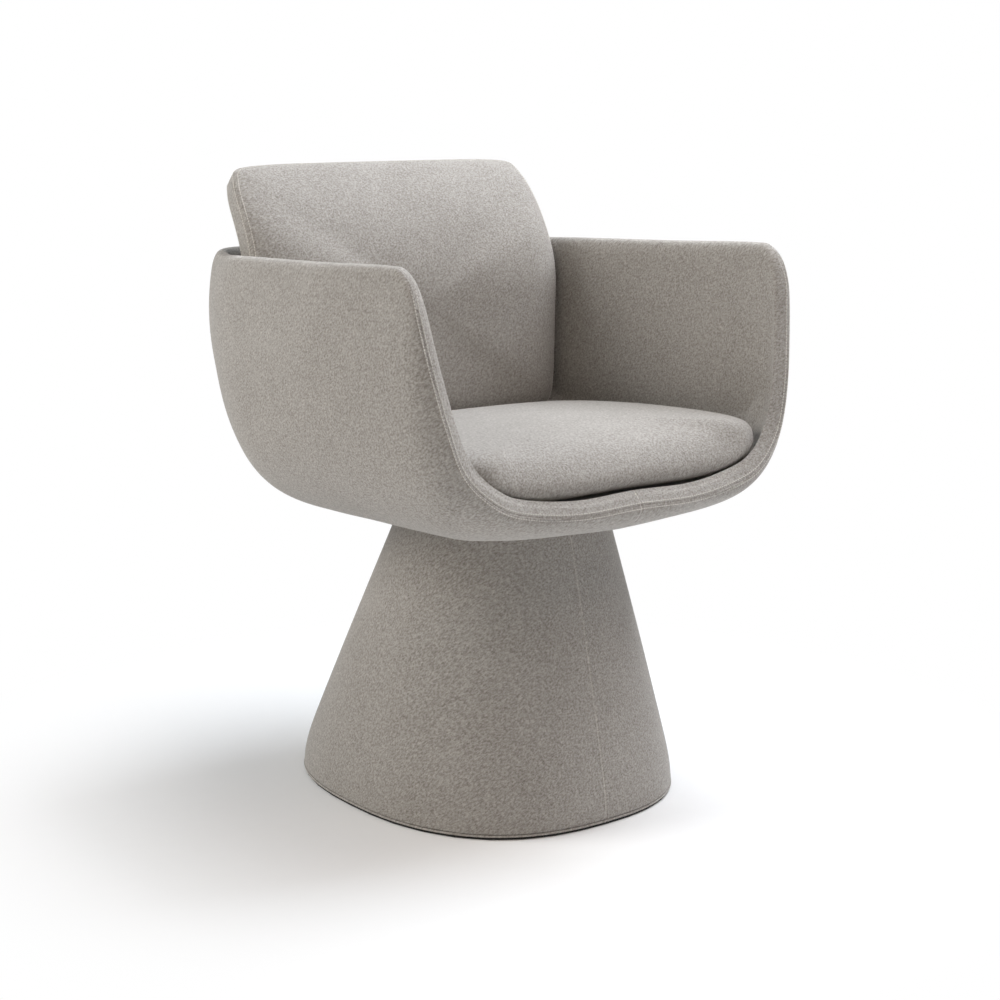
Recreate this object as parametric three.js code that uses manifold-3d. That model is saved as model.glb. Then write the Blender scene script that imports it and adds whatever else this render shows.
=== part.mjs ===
// Pedestal swivel armchair with an upholstered bucket seat, a loose-look seat cushion and a back pad.
// Millimetres, +Z up, the front of the chair towards -Y, the origin on the floor under the shell's centre.
import * as THREE from 'three';
import { mergeVertices } from 'three/addons/utils/BufferGeometryUtils.js';
import Module from 'manifold-3d';

const wasm = await Module();
wasm.setup();

// Clearances that hold everywhere
const seatGap = 0.3;
const runningGap = 0.1;
const softGap = 1;
const overrun = 2;

// Floor stack: a black rubber sheet, then the base plate inside the skirt of the cover
const floorSheetThickness = 3;
const floorSheetInset = 1.5;
const basePlateThickness = 8;
const basePlateInset = 4;

// Pedestal body, a superellipse at the foot that turns into a circle at the head
const footHalfWidth = 216.5;
const footHalfDepth = 250;
const footCentreY = -1;
const footExponent = 2.46;
const footRoundHeight = 27;
const footRoundSoftness = 13;
const waistBulge = 2;
const pedestalTopZ = 362;
const headRadius = 135;
const headRound = 7;
const pedestalCoverThickness = 3;
const formerWall = 10;
const bottomRingHeight = 18;
const bottomRingWidth = 28;
const topBoardThickness = 12;
const topBoardDrop = 6;
const pedestalSides = 36;

// Swivel column, on an axis a little in front of the middle of the foot
const swivelY = -40;
const columnRadius = 30;
const columnWall = 4;
const columnTopZ = 330;
const footFlangeRadius = 82;
const footFlangeThickness = 8;
const flangeBoltCircle = 62;
const bushWall = 6;
const bushLength = 38;
const bushFlangeThickness = 3;
const lowerBushZ = 185;
const thrustWasherThickness = 2.5;
const collarRadius = 33;
const collarHeight = 6;
const ringGrooveDepth = 1.6;
const ringThickness = 2.4;
const ringWidth = 5;
const turnedSides = 36;

// Seat plate and its bolts
const seatPlateRadius = 112;
const seatPlateThickness = 6;
const plateBoltCircle = 88;
const boltCount = 4;
const boltRadius = 4;
const boltHoleClearance = 0.5;
const boltHeadRadius = 7;
const boltHeadHeight = 4.5;
const boltSides = 12;
const hexSides = 6;

// Bucket shell, its bottom, its rim and the layers of its wall
const shellHalfWidth = 302;
const shellHalfDepth = 308;
const shellBottomZ = 367;
const armTopZ = 699;
const shellBottomMargin = 14;
const rimBand = 22;
const rimCrown = 3.5;
const outerCoverThickness = 4;
const coreThickness = 6.5;
const innerCoverThickness = 4;
const panFloorZ = 424;
const panRound = 45;
const columnRows = 8;
const stationCount = 60;

// Seat cushion on its board
const seatBoardThickness = 6;
const seatBoardHalfWidth = 150;
const seatBoardHalfDepth = 150;
const seatBoardCentreY = -70;
const seatBoardExponent = 4;
const cushionSideRoom = 66;
const cushionFrontRoom = 17;
const cushionRearRoom = 176;
const cushionSeamRise = 34;
const cushionHeight = 59;
const cushionRearFall = 21;
const cushionSides = 44;

// Back pad with its board and fixings
const padSideRoom = 59.5;
const padRearRoom = 154;
const padFootZ = 437;
const padTopZ = 799;
const padLean = 86;
const padBoxing = 29;
const padFrontCrown = 17;
const padRearCrown = 22;
const padEdgeRound = 2;
const padRearTuck = 56;
const padRearTaper = 2;
const padSides = 48;
const backBoardSideRoom = 101;
const backBoardThickness = 9;
const spacerWidth = 40;
const spacerInset = 45;

// The rim of the shell, right half, front centre to rear centre. Each row is x, y and z as shares of
// the shell's half width, half depth and wall height, then the shape of the wall below that point:
// run along the bottom, bulge past the rim, drop of the bulge, turn of the band (-1 front, 0 side,
// 1 rear), lift of the band and the inner fillet as a share of the pan's round.
const rimShares = [
  [0.0, -1.0, 0.14, 0.76, 0.005, 0.44, -1, 0.75, 1],
  [0.295, -1.0, 0.135, 0.66, -0.005, 0.4, -0.9, 0.75, 1],
  [0.535, -0.98, 0.16, 0.67, 0.02, 0.41, -0.75, 0.74, 1],
  [0.685, -0.97, 0.21, 0.73, -0.005, 0.42, -0.47, 0.62, 1.3],
  [0.81, -0.94, 0.32, 0.79, -0.03, 0.54, -0.3, 0.38, 1.4],
  [0.875, -0.915, 0.49, 0.91, -0.015, 0.57, -0.25, 0.12, 1.8],
  [0.92, -0.875, 0.695, 0.93, 0.01, 0.66, -0.2, 0, 2.1],
  [0.955, -0.825, 0.9, 0.96, 0.02, 0.69, -0.19, -0.02, 2.25],
  [0.965, -0.745, 0.99, 0.94, 0.045, 0.72, -0.06, -0.04, 2.1],
  [0.965, -0.63, 1.0, 0.92, 0.07, 0.73, -0.04, -0.04, 1.45],
  [0.95, -0.21, 0.98, 0.91, 0.155, 0.73, 0, 0, 1],
  [0.93, 0.105, 0.975, 0.94, 0.185, 0.82, 0.02, 0, 1],
  [0.91, 0.365, 0.965, 0.98, 0.19, 0.87, 0.05, 0, 1],
  [0.89, 0.56, 0.955, 0.93, 0.165, 0.76, 0.12, 0, 1.3],
  [0.845, 0.73, 0.96, 0.84, 0.145, 0.64, 0.3, 0, 2.15],
  [0.775, 0.87, 0.97, 0.78, 0.15, 0.51, 0.56, 0, 2.35],
  [0.63, 0.94, 0.96, 0.75, 0.155, 0.47, 0.82, 0, 1.9],
  [0.395, 0.965, 0.96, 0.76, 0.145, 0.48, 0.96, 0, 1.3],
  [0.0, 0.97, 0.96, 0.8, 0.13, 0.5, 1, 0, 1],
];

// Inner face of the shell: where on the way up its fillet starts and ends, and its lean at the rear
const filletStartShare = 0.2;
const filletEndShare = 0.55;
const rearLeanShare = 0.2;

// The seat cushion's outline, right half, front centre to rear centre: x and y as shares of its half
// width and half length from its middle, then how far its seam has risen.
const cushionShares = [
  [0.0, -1.0, 0.0],
  [0.42, -0.995, 0.02],
  [0.68, -0.985, 0.12],
  [0.84, -0.955, 0.42],
  [0.925, -0.885, 0.72],
  [0.955, -0.76, 0.86],
  [0.97, -0.45, 0.9],
  [0.985, 0.0, 0.8],
  [0.99, 0.5, 0.6],
  [0.97, 0.86, 0.45],
  [0.92, 0.965, 0.4],
  [0.7, 1.0, 0.35],
  [0.35, 1.0, 0.3],
  [0.0, 1.0, 0.3],
];

// Section of the cushion's edge and crown: inset as a share of its height, height as a share
const cushionEdgeShares = [
  [0.22, 0.0],
  [0.04, 0.12],
  [0.0, 0.32],
  [0.05, 0.52],
  [0.2, 0.7],
  [0.5, 0.83],
  [1.05, 0.92],
  [1.9, 0.975],
  [2.9, 0.995],
];

// The back pad's outline, right half, foot centre to top centre: half width and height shares
const padShares = [
  [0.0, 0.0],
  [0.4, 0.0],
  [0.74, 0.005],
  [0.88, 0.022],
  [0.945, 0.055],
  [0.978, 0.1],
  [0.99, 0.2],
  [0.995, 0.42],
  [1.0, 0.62],
  [0.99, 0.73],
  [0.983, 0.825],
  [0.973, 0.896],
  [0.953, 0.945],
  [0.92, 0.979],
  [0.83, 0.991],
  [0.61, 0.998],
  [0.3, 1.0],
  [0.0, 1.0],
];

// Section of the pad from the front seam over its crown: inset share of the half width, crown share
const padCrownShares = [
  [0.0, 0.0],
  [0.03, 0.28],
  [0.1, 0.56],
  [0.24, 0.8],
  [0.48, 0.95],
  [0.74, 1.0],
];
const padLeanStartShare = 0.5;
const padTuckEndShare = 0.24;

// Heights of the pedestal's wall that get a ring of their own, as shares of its height
const wallHeightShares = [0.05, 0.1, 0.17, 0.3];

// Where the back board lies on the pad's height, and how much of the board its spacers take
const backBoardFootShare = 0.091;
const backBoardTopShare = 0.41;
const spacerShare = 0.46;

// Where the crowned band over the rim has its rings, from the inside
const bandCrownShares = [0.8, 0.5, 0.2];

// Sizes that follow from the ones above
const basePlateZ = floorSheetThickness + seatGap;
const formerZ = basePlateZ + basePlateThickness + seatGap;
const skirtZ = basePlateZ + seatGap;
const bushRadius = columnRadius - columnWall - seatGap;
const bushBore = bushRadius - bushWall;
const spindleRadius = bushBore - runningGap;
const coreBottomZ = shellBottomZ + outerCoverThickness + seatGap;
const seatPlateZ = coreBottomZ - seatGap - seatPlateThickness;
const shellBottomRadius = seatPlateRadius + shellBottomMargin;
const cushionHalfWidth = shellHalfWidth - cushionSideRoom;
const cushionFrontY = cushionFrontRoom - shellHalfDepth;
const cushionRearY = shellHalfDepth - cushionRearRoom;
const cushionFootZ = panFloorZ + seatGap + seatBoardThickness + seatGap;
const cushionCentreY = (cushionFrontY + cushionRearY) / 2;
const cushionHalfLength = (cushionRearY - cushionFrontY) / 2;
const padHalfWidth = shellHalfWidth - padSideRoom;
const padFrontY = shellHalfDepth - padRearRoom;
const padHeight = padTopZ - padFootZ;
const backBoardHalfWidth = padHalfWidth - backBoardSideRoom;
const backBoardZ = padFootZ + backBoardFootShare * padHeight;
const backBoardHeight = (backBoardTopShare - backBoardFootShare) * padHeight;
const spacerHeight = spacerShare * backBoardHeight;
const spacerX = backBoardHalfWidth - spacerInset;
const boardFrontY = padFrontY + padBoxing + padRearCrown + 2 * seatGap;

const colours = {
  fabric: { color: 0xa8a29a, roughness: 0.95, metalness: 0 },
  innerFabric: { color: 0x9c958c, roughness: 0.95, metalness: 0 },
  foam: { color: 0xd8d2bd, roughness: 1, metalness: 0 },
  plywood: { color: 0xc9a878, roughness: 0.7, metalness: 0 },
  moulding: { color: 0x3a3a3c, roughness: 0.6, metalness: 0 },
  rubber: { color: 0x151515, roughness: 0.8, metalness: 0 },
  blackSteel: { color: 0x1b1b1c, roughness: 0.5, metalness: 0.6 },
  zincSteel: { color: 0xb4b7ba, roughness: 0.35, metalness: 0.9 },
  polymer: { color: 0xe6e3d8, roughness: 0.5, metalness: 0 },
};

const up = new THREE.Vector3(0, 0, 1);
const chair = new THREE.Group();

// Adds a named mesh, with its own material, to a group
function addPiece(name, geometry, finish, group = chair) {
  const piece = new THREE.Mesh(geometry, new THREE.MeshStandardMaterial(finish));
  piece.name = name;
  group.add(piece);
  return piece;
}

// Keeps only the merged positions of a geometry
function bare(geometry) {
  const plain = geometry.clone();
  plain.deleteAttribute('normal');
  plain.deleteAttribute('uv');
  return mergeVertices(plain);
}

// Turns a closed geometry into a solid for a boolean cut
function toSolid(geometry) {
  const plain = bare(geometry);
  const mesh = new wasm.Mesh({
    numProp: 3,
    vertProperties: new Float32Array(plain.attributes.position.array),
    triVerts: new Uint32Array(plain.index.array),
  });
  return new wasm.Manifold(mesh);
}

// Cuts tools out of a body
function cut(body, tools) {
  let solid = toSolid(body);
  for (const tool of tools) {
    solid = solid.subtract(toSolid(tool));
  }
  const result = solid.getMesh();
  const geometry = new THREE.BufferGeometry();
  geometry.setAttribute('position', new THREE.BufferAttribute(result.vertProperties, 3));
  geometry.setIndex(new THREE.BufferAttribute(result.triVerts, 1));
  return geometry;
}

// Volume inside a triangle list, negative when its faces point in
function signedVolume(points, triangles) {
  let volume = 0;
  for (const [a, b, c] of triangles) {
    volume += points[a].dot(new THREE.Vector3().crossVectors(points[b], points[c])) / 6;
  }
  return volume;
}

// Makes a geometry from points and triangles, with its faces turned out
function fromTriangles(points, triangles) {
  const flip = signedVolume(points, triangles) < 0;
  const index = triangles.flatMap(([a, b, c]) => (flip ? [a, c, b] : [a, b, c]));
  const geometry = new THREE.BufferGeometry();
  geometry.setFromPoints(points);
  geometry.setIndex(index);
  return geometry;
}

// Joins closed rings of points into a solid, each quad split along its shorter diagonal. A looped
// solid joins its last ring to its first, and any other solid is closed by a fan at each end.
function ringSolid(rings, looped = false) {
  const count = rings[0].length;
  const points = rings.flat();
  const triangles = [];
  const steps = looped ? rings.length : rings.length - 1;
  for (let row = 0; row < steps; row += 1) {
    const next = (row + 1) % rings.length;
    for (let i = 0; i < count; i += 1) {
      const j = (i + 1) % count;
      const [a, b, c, d] = [row * count + i, row * count + j, next * count + j, next * count + i];
      const firstShorter = points[a].distanceTo(points[c]) < points[b].distanceTo(points[d]);
      triangles.push(...(firstShorter ? [[a, b, c], [a, c, d]] : [[a, b, d], [b, c, d]]));
    }
  }
  if (!looped) {
    for (const [row, turned] of [[0, true], [rings.length - 1, false]]) {
      const centre = rings[row].reduce((sum, p) => sum.add(p), new THREE.Vector3());
      points.push(centre.divideScalar(count));
      for (let i = 0; i < count; i += 1) {
        const j = (i + 1) % count;
        const fan = [row * count + i, row * count + j, points.length - 1];
        triangles.push(turned ? [fan[1], fan[0], fan[2]] : fan);
      }
    }
  }
  return fromTriangles(points, triangles);
}

// Smooth value between the rows of a table, at a place counted in rows
function between(rows, place, closed = false) {
  const last = rows.length - 1;
  const pick = (k) => (closed ? rows[(k + rows.length) % rows.length] : rows[Math.min(Math.max(k, 0), last)]);
  const k = Math.floor(place);
  const t = place - k;
  const [a, b, c, d] = [pick(k - 1), pick(k), pick(k + 1), pick(k + 2)];
  return b.map((value, i) => {
    const pull = (c[i] - a[i]) / 2;
    const push = (d[i] - b[i]) / 2;
    const bend = c[i] - value;
    return value + t * pull + t * t * (3 * bend - 2 * pull - push) + t * t * t * (pull + push - 2 * bend);
  });
}

// Mirrors the right half of a table to make the closed table of the whole outline
function mirrored(rows) {
  const left = rows.slice(1, -1).map((row) => [-row[0], ...row.slice(1)]);
  return [...rows, ...left.reverse()];
}

// A superellipse in plan, as a ring at one height
function superellipse(halfX, halfY, centreY, exponent, z, count = pedestalSides) {
  const ring = [];
  for (let i = 0; i < count; i += 1) {
    const angle = (i / count) * 2 * Math.PI;
    const c = Math.cos(angle);
    const s = Math.sin(angle);
    const reach = (Math.abs(c) ** exponent + Math.abs(s) ** exponent) ** (-1 / exponent);
    ring.push(new THREE.Vector3(halfX * reach * c, centreY + halfY * reach * s, z));
  }
  return ring;
}

// A plate with round holes, from a ring of points in plan, with its underside at z
function plateWithHoles(ring, thickness, z, holes) {
  const shape = new THREE.Shape(ring.map((p) => new THREE.Vector2(p.x, p.y)));
  for (const { x, y, radius, sides = turnedSides } of holes) {
    const hole = superellipse(radius, radius, 0, 2, 0, sides);
    shape.holes.push(new THREE.Path(hole.map((p) => new THREE.Vector2(p.x + x, p.y + y)).reverse()));
  }
  const geometry = new THREE.ExtrudeGeometry(shape, { depth: thickness, bevelEnabled: false });
  geometry.translate(0, 0, z);
  return geometry;
}

// A turned piece on an upright axis, from a closed or axis-to-axis profile of [radius, z]
function turned(profile, sides = turnedSides) {
  const points = profile.map(([radius, z]) => new THREE.Vector2(radius, z));
  const geometry = new THREE.LatheGeometry(points, sides);
  geometry.rotateX(Math.PI / 2);
  const flat = bare(geometry);
  const corners = flat.attributes.position;
  const list = [];
  for (let i = 0; i < corners.count; i += 1) {
    list.push(new THREE.Vector3().fromBufferAttribute(corners, i));
  }
  const triangles = [];
  for (let i = 0; i < flat.index.count; i += 3) {
    const face = [flat.index.getX(i), flat.index.getX(i + 1), flat.index.getX(i + 2)];
    if (new Set(face).size === 3) {
      triangles.push(face);
    }
  }
  return fromTriangles(list, triangles);
}

// A round rod on an upright axis
function rod(radius, z, height, sides = turnedSides) {
  const profile = [
    [0, z],
    [radius, z],
    [radius, z + height],
    [0, z + height],
  ];
  return turned(profile, sides);
}

// A tube on an upright axis
function sleeve(outer, inner, z, height, sides = turnedSides) {
  const profile = [
    [inner, z],
    [outer, z],
    [outer, z + height],
    [inner, z + height],
    [inner, z],
  ];
  return turned(profile, sides);
}

// A bolt that points up or down, with its head's bearing face at z
function bolt({ radius, headRadius: head, headHeight, length, z, down = false, headSides = boltSides }) {
  const way = down ? -1 : 1;
  const shank = superellipse(radius, radius, 0, 2, 0, boltSides);
  const cap = superellipse(head, head, 0, 2, 0, boltSides);
  const hex = cap.map((p, i) => {
    const corner = Math.floor((i * headSides) / boltSides);
    const share = (i * headSides) / boltSides - corner;
    const start = new THREE.Vector3(head, 0, 0).applyAxisAngle(up, (corner / headSides) * 2 * Math.PI);
    const end = new THREE.Vector3(head, 0, 0).applyAxisAngle(up, ((corner + 1) / headSides) * 2 * Math.PI);
    return start.lerp(end, share);
  });
  const at = (ring, level) => ring.map((p) => new THREE.Vector3(p.x, p.y, z + way * level));
  return ringSolid([at(hex, -headHeight), at(hex, 0), at(shank, 0), at(shank, length)]);
}

// Places round an axis, as [x, y]
function circlePlaces(radius, centreY, count, startShare = 0.5) {
  return Array.from({ length: count }, (_, i) => {
    const angle = ((i + startShare) / count) * 2 * Math.PI;
    return [radius * Math.cos(angle), centreY + radius * Math.sin(angle)];
  });
}

// Length that starts to grow softly round the height where the foot turns into the cone
function softRamp(z) {
  return footRoundSoftness * Math.log(1 + Math.exp((z - footRoundHeight) / footRoundSoftness));
}

// One ring of the pedestal's surface at a height, drawn in from the upholstered outside by an inset
function pedestalRing(inset, z) {
  const rise = (softRamp(z) - softRamp(0)) / (softRamp(pedestalTopZ) - softRamp(0));
  const drawnIn = inset - waistBulge * Math.sin(rise * Math.PI);
  const halfX = THREE.MathUtils.lerp(footHalfWidth, headRadius, rise) - drawnIn;
  const halfY = THREE.MathUtils.lerp(footHalfDepth, headRadius, rise) - drawnIn;
  const exponent = THREE.MathUtils.lerp(footExponent, 2, rise);
  return superellipse(halfX, halfY, THREE.MathUtils.lerp(footCentreY, swivelY, rise), exponent, z);
}

function makeBase() {
  const floorSheet = plateWithHoles(pedestalRing(floorSheetInset, 0), floorSheetThickness, 0, []);
  addPiece('floor_sheet', floorSheet, colours.rubber);
  const boltPlaces = circlePlaces(flangeBoltCircle, swivelY, boltCount);
  const boltHole = boltRadius + boltHoleClearance;
  const holes = boltPlaces.map(([x, y]) => ({ x, y, radius: boltHole, sides: boltSides }));
  const plateRing = pedestalRing(basePlateInset, basePlateZ);
  const basePlate = plateWithHoles(plateRing, basePlateThickness, basePlateZ, holes);
  addPiece('base_plate', basePlate, colours.blackSteel);
  const flangeRing = superellipse(footFlangeRadius, footFlangeRadius, swivelY, 2, 0, turnedSides);
  const flangeHoles = [...holes, { x: 0, y: swivelY, radius: columnRadius + seatGap }];
  const flange = plateWithHoles(flangeRing, footFlangeThickness, formerZ, flangeHoles);
  addPiece('column_foot_flange', flange, colours.zincSteel);
  const headZ = formerZ + footFlangeThickness + seatGap;
  boltPlaces.forEach(([x, y], i) => {
    const shape = bolt({
      radius: boltRadius,
      headRadius: boltHeadRadius,
      headHeight: boltHeadHeight,
      length: headZ - basePlateZ - seatGap,
      z: headZ,
      down: true,
      headSides: hexSides,
    });
    const piece = addPiece(`foot_bolt_${i + 1}`, shape, colours.zincSteel);
    piece.position.set(x, y, 0);
  });
}

function makeColumn() {
  const group = new THREE.Group();
  group.position.y = swivelY;
  chair.add(group);
  const bore = columnRadius - columnWall;
  const tube = sleeve(columnRadius, bore, formerZ, columnTopZ - formerZ);
  addPiece('column_tube', tube, colours.zincSteel, group);
  const flangeZ = columnTopZ + seatGap;
  const upperBush = turned([
    [bushBore, flangeZ - bushLength],
    [bushRadius, flangeZ - bushLength],
    [bushRadius, flangeZ],
    [columnRadius, flangeZ],
    [columnRadius, flangeZ + bushFlangeThickness],
    [bushBore, flangeZ + bushFlangeThickness],
    [bushBore, flangeZ - bushLength],
  ]);
  addPiece('upper_bush', upperBush, colours.polymer, group);
  addPiece('lower_bush', sleeve(bushRadius, bushBore, lowerBushZ, bushLength), colours.polymer, group);
  const washerZ = flangeZ + bushFlangeThickness + seatGap;
  const washer = sleeve(columnRadius, bushBore + seatGap, washerZ, thrustWasherThickness);
  addPiece('thrust_washer', washer, colours.zincSteel, group);
  const collarZ = washerZ + thrustWasherThickness + seatGap;
  const ringZ = lowerBushZ - seatGap - ringThickness;
  const spindleFootZ = ringZ - ringWidth;
  const grooveRadius = spindleRadius - ringGrooveDepth;
  const spindle = turned([
    [0, spindleFootZ],
    [spindleRadius, spindleFootZ],
    [spindleRadius, ringZ - seatGap],
    [grooveRadius, ringZ - seatGap],
    [grooveRadius, ringZ + ringThickness + seatGap / 2],
    [spindleRadius, ringZ + ringThickness + seatGap / 2],
    [spindleRadius, collarZ],
    [collarRadius, collarZ],
    [collarRadius, collarZ + collarHeight],
    [spindleRadius, collarZ + collarHeight],
    [spindleRadius, seatPlateZ - seatGap],
    [0, seatPlateZ - seatGap],
  ]);
  addPiece('spindle', spindle, colours.zincSteel, group);
  addPiece(
    'retaining_ring',
    sleeve(spindleRadius + ringWidth / 2, grooveRadius + seatGap, ringZ, ringThickness),
    colours.blackSteel,
    group,
  );
}

function makePedestalBody() {
  const innerInset = pedestalCoverThickness + seatGap;
  const inner = pedestalCoverThickness;
  const topFold = headRound + topBoardDrop;
  const upward = wallHeightShares.map((share) => share * pedestalTopZ);
  const downward = upward.toReversed();
  const coverRings = [
    pedestalRing(0, skirtZ),
    ...upward.map((z) => pedestalRing(0, z)),
    pedestalRing(0, pedestalTopZ - headRound),
    pedestalRing(headRound / 4, pedestalTopZ - headRound / 3),
    pedestalRing(headRound, pedestalTopZ),
    pedestalRing(topFold, pedestalTopZ),
    pedestalRing(topFold, pedestalTopZ - inner),
    pedestalRing(headRound, pedestalTopZ - inner),
    pedestalRing(inner, pedestalTopZ - headRound),
    ...downward.map((z) => pedestalRing(inner, z)),
    pedestalRing(inner, skirtZ),
  ];
  addPiece('pedestal_cover', ringSolid(coverRings, true), colours.fabric);
  const formerTopZ = pedestalTopZ - inner - seatGap;
  const formerInner = innerInset + formerWall;
  const formerRings = [
    pedestalRing(innerInset, formerZ),
    ...upward.map((z) => pedestalRing(innerInset, z)),
    pedestalRing(innerInset, pedestalTopZ - headRound),
    pedestalRing(innerInset + headRound, formerTopZ),
    pedestalRing(formerInner + headRound, formerTopZ),
    pedestalRing(formerInner, pedestalTopZ - 2 * headRound),
    ...downward.map((z) => pedestalRing(formerInner, z)),
    pedestalRing(formerInner, formerZ),
  ];
  addPiece('pedestal_former', ringSolid(formerRings, true), colours.moulding);
  const boardInset = formerInner + softGap;
  const bottomRings = [
    pedestalRing(boardInset, formerZ),
    pedestalRing(boardInset, formerZ + bottomRingHeight),
    pedestalRing(boardInset + bottomRingWidth, formerZ + bottomRingHeight),
    pedestalRing(boardInset + bottomRingWidth, formerZ),
  ];
  addPiece('pedestal_bottom_ring', ringSolid(bottomRings, true), colours.plywood);
  const boardTopZ = pedestalTopZ - 2 * headRound - topBoardDrop;
  const columnHole = { x: 0, y: swivelY, radius: collarRadius + softGap };
  const boardRing = pedestalRing(boardInset, boardTopZ);
  const board = plateWithHoles(boardRing, topBoardThickness, boardTopZ - topBoardThickness, [columnHole]);
  addPiece('pedestal_top_board', board, colours.plywood);
}

const rimTable = mirrored(rimShares);

// A cubic curve through four control points
function cubic(a, b, c, d, t) {
  const s = 1 - t;
  const point = a.clone().multiplyScalar(s * s * s);
  point.addScaledVector(b, 3 * s * s * t);
  point.addScaledVector(c, 3 * s * t * t);
  return point.addScaledVector(d, t * t * t);
}

// The two faces of the shell's wall above one station of the rim, as control points of two curves
function wallCurves(station) {
  const [x, y, z, run, bulge, drop, turn, lift, fillet] = between(rimTable, station, true);
  const side = Math.sign(x) || 1;
  const wallHeight = armTopZ - shellBottomZ;
  const rim = new THREE.Vector3(x * shellHalfWidth, y * shellHalfDepth, shellBottomZ + z * wallHeight);
  const centre = new THREE.Vector3(0, swivelY, shellBottomZ);
  const outward = new THREE.Vector3(rim.x, rim.y - centre.y, 0);
  const reach = outward.length();
  outward.normalize();
  const foot = centre.clone().addScaledVector(outward, shellBottomRadius);
  const heel = foot.clone().addScaledVector(outward, (reach - shellBottomRadius) * run);
  const belly = rim.clone().addScaledVector(outward, bulge * shellHalfWidth);
  belly.z -= drop * (rim.z - shellBottomZ);
  const angle = (turn * Math.PI) / 2;
  const level = Math.sqrt(1 - lift * lift);
  const inward = new THREE.Vector3(-side * Math.cos(angle) * level, -Math.sin(angle) * level, lift);
  const lip = rim.clone().addScaledVector(inward, rimBand);
  const floorFoot = foot.clone().setZ(panFloorZ);
  const corner = lip.clone().setZ(panFloorZ);
  corner.y -= Math.max(turn, 0) * rearLeanShare * (lip.z - panFloorZ);
  const away = corner.clone().sub(floorFoot).normalize();
  const round = Math.min(fillet * panRound, lip.z - panFloorZ);
  return { outer: [foot, heel, belly, rim], floorFoot, corner, lip, away, round };
}

// A point on the inner face: along the floor, round the fillet, then up to the lip
function innerPoint({ floorFoot, corner, lip, away, round }, t) {
  const arcStart = corner.clone().addScaledVector(away, -round);
  const arcEnd = corner.clone();
  arcEnd.z += round;
  if (t <= filletStartShare) {
    return floorFoot.clone().lerp(arcStart, t / filletStartShare);
  }
  if (t <= filletEndShare) {
    const angle = ((t - filletStartShare) / (filletEndShare - filletStartShare)) * (Math.PI / 2);
    const point = arcStart.addScaledVector(away, round * Math.sin(angle));
    point.z += round * (1 - Math.cos(angle));
    return point;
  }
  return arcEnd.lerp(lip, (t - filletEndShare) / (1 - filletEndShare));
}

// A point in the wall: how far up the faces it lies, and how deep it is from one of them
function wallPoint(curves, t, depth, fromInside = false) {
  const out = cubic(...curves.outer, t);
  const inn = innerPoint(curves, t);
  const chord = inn.clone().sub(out).normalize();
  return fromInside ? inn.addScaledVector(chord, -depth) : out.addScaledVector(chord, depth);
}

// The share of the curves that stays a length short of the rim
function shareBelowRim(curves, length) {
  const [, , belly, rim] = curves.outer;
  return 1 - length / (3 * belly.distanceTo(rim));
}

const stations = Array.from({ length: stationCount }, (_, i) => (
  wallCurves((i / stationCount) * rimTable.length)
));

// Rings of one layer of the shell's wall, from a list of [share up the wall, depth, from inside]
function wallRings(places) {
  return places.map((place) => stations.map((curves) => {
    const [share, depth, fromInside] = place(curves);
    return wallPoint(curves, share, depth, fromInside);
  }));
}

// Places up one face of a layer, from the bottom to a margin below the rim
function facePlaces(depth, fromInside, margin, rows = columnRows) {
  return Array.from({ length: rows + 1 }, (_, row) => (curves) => {
    const top = margin > 0 ? shareBelowRim(curves, margin) : 1;
    return [(top * row) / rows, depth, fromInside];
  });
}

// The band over the rim, as one ring at a share of its width
function bandRing(share) {
  return stations.map((curves) => {
    const [, , belly, rim] = curves.outer;
    const point = rim.clone().lerp(curves.lip, share);
    const outwards = rim.clone().sub(belly).normalize();
    return point.addScaledVector(outwards, rimCrown * Math.sin(share * Math.PI));
  });
}

function makeShell() {
  const bandMargin = innerCoverThickness + 2 * seatGap;
  const layer = (outerDepth, innerDepth, innerFromInside, outerMargin = bandMargin) => wallRings([
    ...facePlaces(outerDepth, false, outerMargin),
    ...facePlaces(innerDepth, innerFromInside, bandMargin).reverse(),
  ]);
  const outerCover = ringSolid(layer(0, outerCoverThickness, false, 2 * seatGap), true);
  addPiece('shell_outer_cover', outerCover, colours.fabric, seat);
  const coreOuter = outerCoverThickness + seatGap;
  const coreInner = coreOuter + coreThickness;
  const threadTools = circlePlaces(plateBoltCircle, 0, boltCount).map(([x, y]) => {
    const tool = rod(boltRadius + seatGap, coreBottomZ - overrun, coreThickness + 2 * overrun, boltSides);
    return tool.translate(x, y + swivelY, 0);
  });
  const core = cut(ringSolid(layer(coreOuter, coreInner, false)), threadTools);
  addPiece('shell_core', core, colours.moulding, seat);
  const foamOuter = coreInner + seatGap;
  const foamInner = innerCoverThickness + seatGap;
  addPiece('shell_foam', ringSolid(layer(foamOuter, foamInner, true)), colours.foam, seat);
  const underBand = (depth, fromInside) => (curves) => (
    [shareBelowRim(curves, innerCoverThickness), depth, fromInside]
  );
  const innerCoverRings = [
    ...wallRings(facePlaces(0, true, 0)),
    ...bandCrownShares.map(bandRing),
    ...wallRings([
      () => [1, 0, false],
      underBand(coreOuter, false),
      underBand(foamOuter, false),
      underBand(innerCoverThickness, true),
    ]),
    ...wallRings(facePlaces(innerCoverThickness, true, innerCoverThickness).slice(0, -1).reverse()),
  ];
  addPiece('shell_inner_cover', ringSolid(innerCoverRings), colours.innerFabric, seat);
}

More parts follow.
